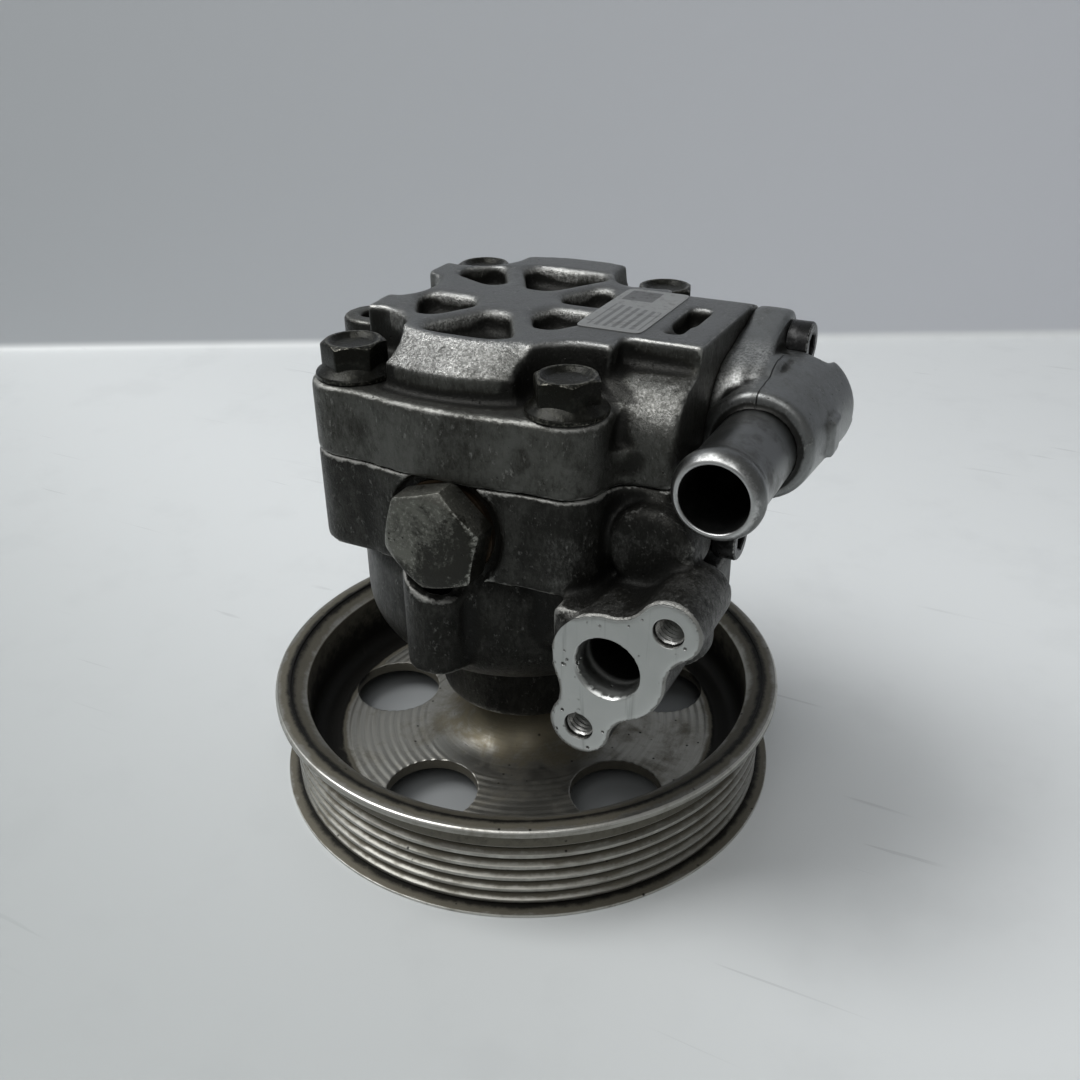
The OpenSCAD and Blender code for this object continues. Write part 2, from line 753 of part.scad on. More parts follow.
// Rotor with a slot for each vane and a splined bore
module rotor() {
    slot_w = vane_t + 2 * run_gap;
    color("#7d7b76") translate([0, 0, plate_top_z + run_gap]) difference() {
        cylinder(r = rotor_r, h = rotor_h);
        translate([0, 0, -over]) linear_extrude(rotor_h + 2 * over) {
            spline(seat_gap);
            for (i = [0:vane_count - 1]) rotate(i * 360 / vane_count) {
                translate([slot_root_r, -slot_w / 2]) square([rotor_r, slot_w]);
                translate([slot_root_r, 0]) circle(slot_w * 0.75);
            }
        }
    }
}

module vanes() {
    color("#c2c2be") for (i = [0:vane_count - 1]) rotate(i * 360 / vane_count)
        translate([vane_root_r, -vane_t / 2, plate_top_z + run_gap])
            cube([vane_tip_r - vane_root_r, vane_t, rotor_h]);
}

// Clip that holds the rotor on the shaft
module rotor_clip() {
    color("#4a4844") translate([0, 0, roof_z + run_gap]) rotate(15) rotate_extrude(angle = 330)
        translate([clip_groove_r + seat_gap, 0]) square([2.4, clip_t]);
}

module cover_seal() {
    color("#222222") translate([0, 0, part_z - cover_ring_section])
        seal_ring(cover_ring_r, cover_ring_section - seat_gap);
}

// Place of a pocket's round corner that touches a rib, measured from the pocket's middle
function pocket_corner(half, r, out) =
    let (swing = half - asin((pocket_rib / 2 + r) / out)) out * [cos(swing), sin(swing)];

// Outline of one pocket in the cover's top, between two ribs and out to its reach
module pocket_outline(pocket) {
    half = (pocket[1] - pocket[0]) / 2;
    near = max(pocket_hub_r + pocket_tip_r, (pocket_rib / 2 + pocket_tip_r) / sin(half - 2));
    tip = pocket_corner(half, pocket_tip_r, near);
    end = pocket_corner(half, pocket_end_r, pocket[2] - pocket_end_r);
    rotate(pocket[0] + half) rounded_outline([[tip[0], -tip[1]], [end[0], -end[1]], end, tip],
        [pocket_tip_r, pocket_end_r, pocket_end_r, pocket_tip_r]);
}

// Outline of the raised top: round, but trimmed at left and right inside the bolted joint
module top_outline() {
    along = (bolt_places[3] - bolt_places[0]) / norm(bolt_places[3] - bolt_places[0]);
    beside = (corner_r - top_inset) * [-along[1], along[0]];
    front = bolt_places[0] - 2 * corner_r * along + beside;
    back = bolt_places[3] + 2 * corner_r * along + beside;
    intersection() {
        circle(top_r);
        polygon([front, back, -front, -back]);
    }
}

// Section of the cover's side: suction boss below, ledge, and the level of the top
module side_section() {
    translate([barrel_y, barrel_z]) circle(barrel_r);
    translate([side_front_y, part_z]) square([side_back_y - side_front_y, barrel_z - part_z]);
    translate([barrel_y, part_z]) square([side_back_y - barrel_y, ledge_z - part_z]);
    translate([side_top_front_y, ledge_z - over])
        square([side_top_back_y - side_top_front_y, ledge_h + over]);
}

// Rear cover, one casting: flange, raised top with pockets, suction boss and mounting ear
module rear_cover() {
    color("#77787a") difference() {
        union() {
            translate([0, 0, part_z]) {
                linear_extrude(flange_h) joint_outline();
                linear_extrude(barrel_z - part_z) side_fillet();
            }
            difference() {
                translate([0, 0, seat_z - over]) linear_extrude(top_h + over) top_outline();
                rotate_extrude(angle = 70, start = -130) polygon([[top_r - facet_w, top_z],
                    [top_r - facet_w, top_z + over], [top_r + facet_w, top_z + over],
                    [top_r + facet_w, top_z - 2 * facet_h]]);
            }
            intersection() {
                along_x(side_start_x, side_x - side_start_x) side_section();
                translate([0, 0, part_z]) linear_extrude(flange_h + top_h) side_outline(side_x);
            }
            along_x(side_x - screw_grip - 4, screw_grip + 4) translate(upper_lug) circle(upper_lug_r);
            translate([-ear_x, -ear_y, ledge_z - ear_h]) {
                cylinder(r = mount_boss_r, h = ear_h);
                translate([0, -mount_boss_r, 0]) cube([2 * mount_boss_r, 2 * mount_boss_r, ear_h]);
            }
        }
        translate([0, 0, part_z - over]) cylinder(r = cavity_r, h = roof_z - part_z + over);
        translate([0, 0, roof_z - over]) cylinder(r = shaft_well_r, h = shaft_well_depth + over);
        for (a = [pin_angle, pin_angle + 180]) rotate(a) translate([pin_ring_r, 0, roof_z - over])
            cylinder(r = pin_r + seat_gap, h = pin_sink + over);
        for (at = bolt_places) translate([at[0], at[1], part_z - over])
            cylinder(r = bolt_hole_r, h = flange_h + 2 * over);
        for (i = [1:3]) translate([bolt_places[i][0], bolt_places[i][1], seat_z])
            cylinder(r1 = bolt_clear_r, r2 = bolt_clear_r + bolt_clear_draft, h = top_h + over);
        translate([0, 0, seat_z]) linear_extrude(top_h + over)
            tangent_bar(bolt_places[0], bolt_clear_r - blend, bolt_places[0] + bolt_bite, bolt_clear_r);
        translate([ear_bite[0], ear_bite[1], ledge_z]) cylinder(r = ear_bite_r, h = ledge_h + over);
        translate([-ear_x, -ear_y, ledge_z - ear_tap_l]) cylinder(d = ear_tap_d, h = ear_tap_l + over);
        translate([0, 0, top_z - pocket_depth]) linear_extrude(pocket_depth + over)
            for (pocket = pockets) pocket_outline(pocket);
        translate([side_pocket_at[0], side_pocket_at[1], top_z - side_pocket[2]])
            cube([side_pocket[0], side_pocket[1], side_pocket[2] + over]);
        translate([side_pocket_at[0] + 0.5, side_pocket_at[1] + over - side_tail[1], top_z - side_tail[2]])
            cube([side_tail[0], side_tail[1], side_tail[2] + over]);
        on_x(cavity_r - 3, elbow_port_y, port_z) cylinder(r = port_r, h = side_x - cavity_r + 3 + over);
        on_x(side_x - screw_grip - 2, upper_lug[0], upper_lug[1])
            cylinder(r = screw_d / 2 + bolt_thread_gap, h = screw_grip + 2 + over);
    }
}

// Flanged hex bolt with a dished head, standing on the Z plane
module flanged_bolt() {
    hex_r = bolt_af / 2 / cos(30);
    difference() {
        union() {
            rotate_extrude() polygon([[0, 0], [bolt_flange_d / 2, 0], [bolt_flange_d / 2, 1.1],
                [bolt_af / 2, 2.6], [0, 2.6]]);
            intersection() {
                cylinder(r = hex_r, h = bolt_head_h, $fn = 6);
                cylinder(r1 = hex_r + bolt_head_h * 2 - 1.4, r2 = bolt_af / 2 - 0.3, h = bolt_head_h + 0.01);
            }
            translate([0, 0, -flange_h - bolt_grip]) cylinder(d = bolt_d, h = flange_h + bolt_grip);
        }
        translate([0, 0, bolt_head_h - 0.7])
            cylinder(r1 = bolt_af / 2 - 2.2, r2 = bolt_af / 2 - 1.2, h = 0.71);
    }
}

module cover_bolts() {
    color("#3a3a35") for (i = [0:3]) translate([bolt_places[i][0], bolt_places[i][1], seat_z])
        rotate(bolt_turns[i]) flanged_bolt();
}

// Point of the spring's wire at a turn counted along the coil
function coil_point(t) = let (rise = valve_end_y - spring_y - spring_wire)
    [spring_r * cos(360 * t), spring_r * sin(360 * t), spring_wire / 2 + rise * t / spring_turns];

module flow_valve_spring() {
    steps = 16;
    sides = 8;
    rings = spring_turns * steps;
    points = [for (i = [0:rings]) let (t = i / steps, c = coil_point(t)) for (k = [0:sides - 1])
        c + spring_wire / 2 * (cos(360 * k / sides) * [cos(360 * t), sin(360 * t), 0]
            + sin(360 * k / sides) * [0, 0, 1])];
    walls = [for (i = [0:rings - 1]) for (k = [0:sides - 1]) let (n = (k + 1) % sides)
        [i * sides + k, (i + 1) * sides + k, (i + 1) * sides + n, i * sides + n]];
    ends = [[for (k = [0:sides - 1]) k], [for (k = [sides - 1:-1:0]) rings * sides + k]];
    color("#8a8a8a") on_y(valve_x, spring_y, valve_z) polyhedron(points, concat(walls, ends));
}

// Valve spool: two lands with a groove between them and a cup for the spring
module flow_valve_spool() {
    land_r = valve_r - run_gap;
    color("#c4c4c0") on_y(valve_x, spool_y, valve_z) rotate_extrude() polygon([[0, 0], [land_r - 1, 0],
        [land_r, 1], [land_r, 3.5], [land_r - 1.4, 3.5], [land_r - 1.4, 6.5], [land_r, 6.5],
        [land_r, spool_l], [spool_cup_r, spool_l],
        [spool_cup_r, spool_l - spool_cup_depth], [0, spool_l - spool_cup_depth]]);
}

module plug_washer() {
    color("#8c6b45") on_y(valve_x, plug_hex_y, valve_z)
        flat_ring(plug_af / 2 + 0.6, plug_d / 2 + 0.1, washer_t);
}

// Hex plug that closes the valve bore, its face rounded off at the corners
module valve_plug() {
    hex_r = plug_af / 2 / cos(30);
    color("#6b6962") {
        on_y(valve_x, plug_front_y, valve_z) rotate(-plug_turn) intersection() {
            cylinder(r = hex_r, h = plug_hex_l, $fn = 6);
            cylinder(r1 = plug_af / 2 - 0.6, r2 = plug_af / 2 - 0.6 + 2 * plug_hex_l, h = plug_hex_l + 0.01);
        }
        on_y(valve_x, plug_hex_y - 0.5, valve_z) cylinder(d = plug_d, h = plug_end_y - plug_hex_y + 0.5);
    }
}

module elbow_seal() {
    color("#222222") on_x(side_x + elbow_ring_section, elbow_port_y, port_z)
        seal_ring(elbow_ring_r, elbow_ring_section - seat_gap);
}

// Suction elbow, one casting: beaded tube, collar, closed round body and bolted flange
module suction_elbow() {
    bore_r = tube_r - tube_wall;
    body_l = elbow_end_y - collar_y;
    middle = [elbow_port_y, tube_z];
    color("#8b9094") difference() {
        union() {
            on_y(tube_x, collar_y - tube_l, tube_z) rotate_extrude() polygon(concat(
                [[0, 0], [bore_r + 0.9, 0]],
                arc([tube_r + bead_h - 1.6, 1.6], 1.6, -60, 0, 5),
                [[tube_r + bead_h, 2.2], [tube_r, bead_l], [tube_r, tube_l + over], [0, tube_l + over]]));
            on_y(tube_x, collar_y, tube_z) rotate_extrude() polygon(concat(
                [[0, 0], [collar_r - collar_edge, 0], [collar_r, collar_edge]],
                arc([elbow_r - elbow_end_edge, body_l - elbow_end_edge], elbow_end_edge, 0, 90, 5),
                [[0, body_l]]));
            along_x(side_x, upper_lug_l) tangent_bar(middle, elbow_plate_r - 0.5, upper_lug, upper_lug_r);
            along_x(side_x, lower_lug_l) tangent_bar(middle, elbow_plate_r, lower_lug, lower_lug_r);
            along_x(side_x, tube_out) translate(middle) circle(elbow_plate_r - 1);
            translate([tube_x, elbow_tab_y, tube_z - elbow_tab[1] / 2])
                cube([elbow_r, elbow_tab[0], elbow_tab[1]]);
        }
        on_y(tube_x, collar_y - tube_l - over, tube_z)
            cylinder(r = bore_r, h = tube_l - collar_y + elbow_port_y + port_r + 2 * over);
        on_x(side_x - over, elbow_port_y, port_z) cylinder(r = port_r, h = tube_out + over);
        on_x(side_x, elbow_port_y, port_z) mirror([0, 0, 1]) ring_groove(elbow_ring_r, elbow_ring_section);
        for (s = [[upper_lug, upper_lug_l], [lower_lug, lower_lug_l]]) on_x(side_x - over, s[0][0], s[0][1]) {
            cylinder(r = screw_d / 2 + free_gap, h = s[1] + 2 * over);
            translate([0, 0, s[1] + over]) cylinder(r = screw_head_r + free_gap, h = 2 * screw_head_h);
        }
        translate([side_x - 2 * elbow_r, collar_y - over, tube_z - 2 * elbow_r])
            cube([2 * elbow_r, 4 * elbow_r, 4 * elbow_r]);
    }
}

// Socket-head screws of the elbow's flange
module elbow_screws() {
    color("#2e2e2e") for (s = [[upper_lug, upper_lug_l], [lower_lug, lower_lug_l]])
        on_x(side_x + s[1], s[0][0], s[0][1]) difference() {
            union() {
                cylinder(r = screw_head_r, h = screw_head_h);
                translate([0, 0, -s[1] - screw_grip]) cylinder(d = screw_d, h = s[1] + screw_grip);
            }
            translate([0, 0, screw_head_h * 0.4])
                cylinder(r = screw_head_r * 0.55, h = screw_head_h, $fn = 6);
        }
}

module blank_label() {
    color("#b9bcc0") translate([label_at[0], label_at[1], top_z]) cube([label_w, label_l, label_t]);
}

pulley();
drive_shaft();
front_housing();
bearing_circlip();
bearing_outer_race();
bearing_inner_race();
bearing_balls();
bearing_cage();
shaft_seal();
shaft_bush();
plate_seal();
pressure_plate();
dowel_pins();
cam_ring();
rotor();
vanes();
rotor_clip();
cover_seal();
rear_cover();
cover_bolts();
flow_valve_spring();
flow_valve_spool();
plug_washer();
valve_plug();
elbow_seal();
suction_elbow();
elbow_screws();
blank_label();
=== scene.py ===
from math import radians
import bmesh
import bpy
import numpy as np
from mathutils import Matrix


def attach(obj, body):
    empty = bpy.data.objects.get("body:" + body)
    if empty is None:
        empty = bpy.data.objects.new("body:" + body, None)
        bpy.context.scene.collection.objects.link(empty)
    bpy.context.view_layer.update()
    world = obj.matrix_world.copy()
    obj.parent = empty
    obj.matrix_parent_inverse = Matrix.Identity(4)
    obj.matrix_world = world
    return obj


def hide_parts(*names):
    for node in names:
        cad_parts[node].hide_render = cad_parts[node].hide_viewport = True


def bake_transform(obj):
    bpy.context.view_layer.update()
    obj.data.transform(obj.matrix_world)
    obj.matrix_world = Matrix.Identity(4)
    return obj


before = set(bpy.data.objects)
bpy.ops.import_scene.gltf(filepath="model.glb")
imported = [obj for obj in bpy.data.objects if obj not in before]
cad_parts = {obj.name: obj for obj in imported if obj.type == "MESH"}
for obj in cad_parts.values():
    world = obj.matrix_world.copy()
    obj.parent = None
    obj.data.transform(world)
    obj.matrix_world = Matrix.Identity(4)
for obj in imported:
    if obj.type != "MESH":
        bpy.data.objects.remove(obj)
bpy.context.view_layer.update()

# Studio: a pale painted table that meets a grey wall, a broad lamp high on the left and a weaker one in front.
# The camera stands where the photograph was taken, a little above the pump and to its right.
view = bpy.context.scene
view.view_settings.view_transform = "Standard"
camera = bpy.data.objects.new("camera", bpy.data.cameras.new("camera"))
view.collection.objects.link(camera)
camera.location = (0.1208064, -0.2272037, 0.2040325)
camera.rotation_euler = [radians(a) for a in (61.6399, 0.65053, 26.72127)]
camera.data.lens = 36.949
camera.data.sensor_width = 36
view.camera = camera


class Value:
    """A number that varies over a surface: arithmetic on it adds Math nodes to its material."""

    def __init__(self, finish, socket):
        self.finish, self.socket = finish, socket

    def math(self, operation, *numbers):
        made = self.finish.node("ShaderNodeMath", {"operation": operation}, dict(enumerate(numbers)))
        return Value(self.finish, made)

    def __add__(self, other): return self.math("ADD", self, other)
    def __sub__(self, other): return self.math("SUBTRACT", self, other)
    def __rsub__(self, other): return self.math("SUBTRACT", other, self)
    def __mul__(self, other): return self.math("MULTIPLY", self, other)
    def __or__(self, other): return self.math("MAXIMUM", self, other)
    def __mod__(self, other): return self.math("FLOORED_MODULO", self, other)
    def __abs__(self): return self.math("ABSOLUTE", self)
    __radd__, __rmul__ = __add__, __mul__


class Finish:
    """One material: a Principled surface and the nodes that drive it."""

    def __init__(self, name):
        self.material = bpy.data.materials.new(name)
        self.material.use_nodes = True
        self.tree = self.material.node_tree
        self.surface = self.tree.nodes["Principled BSDF"]

    def node(self, kind, settings=None, sockets=None, out=0):
        """Adds one node, sets its settings first, then the value or link of each socket; gives one output."""
        made = self.tree.nodes.new(kind)
        for key, value in (settings or {}).items():
            setattr(made, key, value)
        self.feed(made, sockets or {})
        return made.outputs[out]

    def feed(self, made, sockets):
        for key, value in sockets.items():
            value = value.socket if isinstance(value, Value) else value
            if isinstance(value, bpy.types.NodeSocket):
                self.tree.links.new(value, made.inputs[key])
            else:
                made.inputs[key].default_value = value

    def place(self, stretch=(1, 1, 1)):
        """The point of the surface in the part's own frame, stretched along the axes."""
        where = self.node("ShaderNodeTexCoord", out=3)
        return self.node("ShaderNodeVectorMath", {"operation": "MULTIPLY"}, {0: where, 1: stretch})

    def along(self, axis):
        """The point's distance along one axis, in millimetres."""
        return Value(self, self.node("ShaderNodeSeparateXYZ", None, {0: self.place((1000, 1000, 1000))}, axis))

    def off_axis(self, middle, across):
        """Distance in millimetres from a line through middle; across is 0 for the line's own axis."""
        away = self.node("ShaderNodeVectorMath", {"operation": "MULTIPLY_ADD"}, {
            0: self.place((1000, 1000, 1000)), 1: across, 2: [-m * a for m, a in zip(middle, across)]})
        return Value(self, self.node("ShaderNodeVectorMath", {"operation": "LENGTH"}, {0: away}, 1))

    def noise(self, size, detail=4.0, rough=0.6, stretch=(1, 1, 1), warp=0.0):
        """Cloudy pattern whose blotches are about size millimetres across."""
        return Value(self, self.node("ShaderNodeTexNoise", None, {
            "Vector": self.place(stretch), "Scale": 1000 / size, "Detail": detail, "Roughness": rough,
            "Distortion": warp}))

    def specks(self, size):
        """Distance to the nearest of scattered points that lie about size millimetres apart, 0 at a point."""
        return Value(self, self.node("ShaderNodeTexVoronoi", None, {"Vector": self.place(), "Scale": 1000 / size}))

    def attribute(self, name):
        """A mark that the mesh carries for each of its points."""
        return Value(self, self.node("ShaderNodeAttribute", {"attribute_name": name}, out=2))

    def step(self, value, low, high):
        """0 before low, 1 past high, and a smooth change between them."""
        return Value(self, self.node("ShaderNodeMapRange", {"interpolation_type": "SMOOTHSTEP"}, {
            "Value": value, "From Min": low, "From Max": high}))

    def mix(self, part, first, second):
        """The first colour turning into the second as part goes from 0 to 1."""
        first, second = [c if isinstance(c, bpy.types.NodeSocket) else (*c, 1) for c in (first, second)]
        return self.node("ShaderNodeMix", {"data_type": "RGBA"}, {0: part, 6: first, 7: second}, 2)

    def done(self, colour, metal, rough, height=None, depth=0.0):
        """Feeds the surface; height is a relief of the given depth in millimetres."""
        self.feed(self.surface, {"Base Color": colour, "Metallic": metal, "Roughness": rough})
        if height is not None:
            self.feed(self.surface, {"Normal": self.node("ShaderNodeBump", None, {
                "Height": height, "Distance": depth * 0.001, "Strength": 1.0})})
        return self.material


def table_paint():
    """Pale satin paint with faint long scratches and dark nicks, painted darker towards the front left as a falloff
    of light and with a painted shadow under the pulley; the wall is greyer and painted lighter towards the right.
    """
    f = Finish("table_paint")
    # painted light: side makes the table darker towards the front left and lighter towards the back and right, a
    # falloff of the lamps' light painted into its colour
    side = f.step(f.along(0) * 0.34 + f.along(1), -220, 80)
    # painted shadow: under marks a disc below the pulley that is painted dark as its shade
    under = f.step(f.off_axis((0, 0, 0), (1, 1, 0)), 66, 58)
    scratch = f.step(f.noise(2.2, 2, stretch=(0.03, 0.5, 1), warp=0.6), 0.66, 0.72)
    scratch = scratch * f.step(f.noise(60, 2), 0.49, 0.60)
    nick = f.step(f.specks(40), 0.030, 0.014) * f.step(f.noise(150, 1), 0.46, 0.58)
    smudge = f.step(f.noise(38, 4, 0.6), 0.50, 0.70)
    table = f.mix(side, (0.39, 0.412, 0.411), (0.755, 0.78, 0.785))
    table = f.mix((scratch * 0.2) | (nick * 0.8) | (smudge * 0.05), table, (0.22, 0.23, 0.24))
    # painted shadow under the pulley
    table = f.mix(under * 0.85, table, (0.19, 0.20, 0.205))
    # painted light: the wall is painted lighter towards +X, as if its right side were lit more
    wall = f.mix(f.step(f.along(0), -500, 300), (0.46, 0.48, 0.50), (0.67, 0.685, 0.73))
    return f.done(f.mix(f.step(f.along(2), 1, 6), table, wall), 0.0, 0.42)


def quads(rows, columns, turn=False):
    """Faces of a grid of points, with the last column joined to the first where turn is set."""
    r, c = np.meshgrid(np.arange(rows - 1), np.arange(columns if turn else columns - 1), indexing="ij")
    n = (c + 1) % columns
    corners = [r * columns + c, r * columns + n, (r + 1) * columns + n, (r + 1) * columns + c]
    return np.stack(corners, -1).reshape(-1, 4)


def put(name, points, faces, material, sharp=40.0, **marks):
    """A mesh object at the origin from points in millimetres; edges sharper than the angle stay crisp.
    Points that fall together, as at a pole or a seam, are merged, and the faces turned outwards. Each mark
    is a number for every point, stored as an attribute that the material reads."""
    mesh = bpy.data.meshes.new(name)
    mesh.from_pydata((np.asarray(points, float).reshape(-1, 3) * 0.001).tolist(), [], np.asarray(faces).tolist())
    for mark, worth in marks.items():
        mesh.attributes.new(mark, "FLOAT", "POINT").data.foreach_set("value", np.asarray(worth, float).ravel())
    weld = bmesh.new()
    weld.from_mesh(mesh)
    bmesh.ops.remove_doubles(weld, verts=weld.verts, dist=2e-6)
    bmesh.ops.recalc_face_normals(weld, faces=weld.faces)
    weld.to_mesh(mesh)
    weld.free()
    mesh.shade_smooth()
    mesh.set_sharp_from_angle(angle=radians(sharp))
    mesh.materials.append(material)
    made = bpy.data.objects.new(name, mesh)
    view.collection.objects.link(made)
    return made


# The table runs back, turns up through a small round and becomes the wall.
TABLE_END, ROUND, WALL_HIGH = 355, 5, 1200
back, along = np.array([-0.457, 0.889]), np.array([0.889, 0.457])
bend = np.linspace(0, np.pi / 2, 8)[1:]
depth = np.concatenate([np.linspace(-700, TABLE_END, 12), TABLE_END + ROUND * np.sin(bend),
                        [TABLE_END + ROUND] * 2])
rise = np.concatenate([np.zeros(12), ROUND - ROUND * np.cos(bend), [300, WALL_HIGH]])
across = np.linspace(-1600, 1600, 9)
ground = depth[:, None, None] * back + across[None, :, None] * along
level = np.broadcast_to(rise[:, None] - 0.02, ground.shape[:2])
table = put("table", np.dstack([ground, level]), quads(len(depth), len(across)), table_paint())

world = bpy.data.worlds.new("room")
view.world = world
world.use_nodes = True
world.node_tree.nodes["Background"].inputs["Color"].default_value = (0.97, 0.985, 0.98, 1)
world.node_tree.nodes["Background"].inputs["Strength"].default_value = 0.22


def lamp(name, place, aim, size, power):
    """A white square soft lamp of the given side that points at aim."""
    light = bpy.data.lights.new(name, "AREA")
    light.shape, light.size, light.energy = "SQUARE", size, power
    holder = bpy.data.objects.new(name, light)
    holder.location = place
    x, y, z = np.subtract(aim, place)
    holder.rotation_euler = (np.arctan2(np.hypot(x, y), -z), 0, np.arctan2(y, x) - radians(90))
    view.collection.objects.link(holder)


lamp("left_lamp", (-0.70, -0.36, 1.35), (0, 0, 0.05), 0.85, 16.5)
lamp("front_lamp", (0.16, -0.60, 0.95), (0, 0, 0.05), 0.70, 3.0)

# Front housing: one aluminium casting that holds the bearing, the seals and the valve bore.
# The mould left its edges round and its skin grainy; oil and dust have turned it nearly black, with bright
# metal where it was rubbed. The outlet's face is milled flat, with a bore and two threaded holes.


def relax(points, edges, weight, rounds):
    """Each point, or row of marks, moves part of the way to the mean of its neighbours, several times."""
    count = np.bincount(edges.ravel(), minlength=len(points))[:, None]
    for _ in range(rounds):
        near = [np.bincount(edges[:, 0], points[edges[:, 1], k], len(points))
                + np.bincount(edges[:, 1], points[edges[:, 0], k], len(points)) for k in range(points.shape[1])]
        points = points + weight * (np.stack(near, -1) / count - points)
    return points


def get(items, field, width, kind=float):
    """A whole field of a mesh's items as one array."""
    values = np.empty(len(items) * width, kind)
    items.foreach_get(field, values)
    return values.reshape(-1, width)


def cast_skin(node, voxel, rounds, finish, machine=None, skins=None, ends=None, soften=None):
    """The node's own solid, merged and covered with an even net of voxel-sized faces whose points are then
    relaxed, which rounds the corners as a mould does, and more so where soften() gives 1. machine() puts
    milled points back on their planes.
    Attributes: rim and hollow are how far a point lies outside or inside its relaxed place; hollow stands in for
    shade in creases as well as dirt. skins() gives blast, polish and soot, 1 where the skin is coarse or painted
    lighter as painted light, level, or black with dirt and painted shade, with soft borders. What lies below Y ends
    is cut off."""
    solid = bmesh.new()
    solid.from_mesh(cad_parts[node].data)
    bmesh.ops.remove_doubles(solid, verts=solid.verts, dist=1e-6)
    mesh = bpy.data.meshes.new(node + "_skin")
    solid.to_mesh(mesh)
    solid.free()
    skin = bpy.data.objects.new(node + "_skin", mesh)
    view.collection.objects.link(skin)
    net = skin.modifiers.new("net", "REMESH")
    net.mode, net.voxel_size = "VOXEL", voxel * 0.001
    mesh = bpy.data.meshes.new_from_object(skin.evaluated_get(bpy.context.evaluated_depsgraph_get()))
    skin.modifiers.clear()
    skin.data = mesh
    edges = get(mesh.edges, "vertices", 2, np.int32)
    points = relax(get(mesh.vertices, "co", 3) * 1000, edges, 0.5, rounds)
    if soften:
        points = points + (relax(points, edges, 0.5, 16) - points) * soften(points)[:, None]
    if machine:
        points = machine(points)
    mesh.vertices.foreach_set("co", (points * 0.001).ravel())
    mesh.update()
    normals = get(mesh.vertex_normals, "vector", 3)
    # hollow, measured against a wide relaxation, stands in for shade in creases and corners as well as for dirt
    marks = {name: ((relax(points, edges, 0.5, spread) - points) * normals).sum(1) / scale
             for name, spread, scale in (("rim", 3, -0.12), ("hollow", 60, 0.8))}
    if skins:
        blast, polish, soot = relax(np.stack(skins(points, normals), -1), edges, 0.5, 2).T
        marks.update(blast=blast, polish=polish, soot=soot)
    for name, worth in marks.items():
        mesh.attributes.new(name, "FLOAT", "POINT").data.foreach_set("value", np.clip(worth, 0, 1))
    if ends is not None:
        cut = bmesh.new()
        cut.from_mesh(mesh)
        bmesh.ops.bisect_plane(cut, geom=[*cut.verts, *cut.edges, *cut.faces], plane_co=(0, ends * 0.001, 0),
                               plane_no=(0, -1, 0), clear_outer=True)
        cut.to_mesh(mesh)
        cut.free()
    mesh.shade_smooth()
    mesh.materials.clear()
    mesh.materials.append(finish)
    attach(skin, "pump_body")
    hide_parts(node)
    return skin


class CastMetal(Finish):
    """Cast aluminium under a film of oily dirt: the film lies in clouds and in fine streaks that run down the
    walls, and, as dirt and painted shade, in hollows; it is rubbed through here and there along the rims. Polished
    skin is level and cleaner; blasted skin is lumpy and sparkles, with glints painted into its colour. Black sludge
    and painted shade fill the inner corners."""

    def __init__(self, name, clean, dirty, grime, gloss):
        super().__init__(name)
        fine = self.noise(0.8, 5, 0.75)
        cloud = self.noise(15, 6, 0.65, (1, 1, 0.45), 0.4)
        blotch = self.noise(4.5, 5, 0.7)
        streak = self.noise(1.1, 5, 0.75, (1, 1, 0.45), 0.8)
        lump = self.noise(0.9, 5, 0.7, (1, 1, 0.6), 0.2)
        blast, polish = self.attribute("blast"), self.attribute("polish")
        # dirt is the oily film and, through hollow, painted shade in creases and corners
        dirt = cloud * 0.35 + blotch * 0.3 + streak * 0.35 + self.attribute("hollow") * 0.45
        dirt = dirt - blast * 0.08 - polish * 0.10
        film = self.step(dirt, 0.38 - grime, 0.62 - grime)
        rubbed = self.step(self.attribute("rim") + (fine - 0.5) * 0.8 + (blotch - 0.5) * 1.6, 0.62, 1.0)
        pit = self.step(self.specks(1.7), 0.17, 0.07) * self.step(blotch, 0.46, 0.58) * (1 - polish * 0.7)
        # painted highlight: glint paints bright flecks of colour on lumps, standing in for glints of light
        glint = self.step(lump, 0.55, 0.66) * self.step(blotch + blast * 0.3, 0.45, 0.62)
        bare = self.mix(streak, [c * 0.5 for c in clean], [c * 1.4 for c in clean])
        bare = self.mix(polish, bare, self.mix(fine, (0.14, 0.142, 0.140), (0.23, 0.233, 0.230)))
        grit = self.noise(0.55, 4, 0.7)
        coarse = self.mix(self.step(grit, 0.34, 0.67), (0.16, 0.16, 0.15), (0.95, 0.95, 0.92))
        coarse = self.mix(self.step(cloud, 0.42, 0.58) * 0.2, coarse, (0.20, 0.20, 0.19))
        bare = self.mix(blast, bare, coarse)
        oil = self.mix(blotch, [c * 0.5 for c in dirty], dirty)
        self.colour = self.mix(film * (1 - polish * 0.45), bare, oil)
        # rubbed is wear along the rims; glint adds painted highlights
        gleam = (rubbed * 0.55) | (glint * (1 - film * 0.55) * 0.5)
        self.colour = self.mix(gleam, self.colour, (0.46, 0.46, 0.435))
        # painted shade with dirt: hollow and the soot mark turn inner corners and bolt wells nearly black
        deep = self.attribute("hollow") + self.attribute("soot")
        sludge_and_shade = self.step(deep + (blotch - 0.5) * 0.8, 0.12, 0.50) * (1 - polish)
        self.colour = self.mix((pit * 0.75) | (sludge_and_shade * 0.8), self.colour, (0.010, 0.010, 0.009))
        self.metal = 1 - film * 0.4 - blast * (1 - film) * 0.2
        self.rough = gloss + film * 0.12 + (fine - 0.5) * 0.3 - blast * 0.08
        self.relief = fine * 0.7 + streak * (1 - polish) * 0.8 + blotch * 0.7 + grit * blast * 2.0 - pit * 0.7
        self.feed(self.surface, {"Specular IOR Level": 0.35})


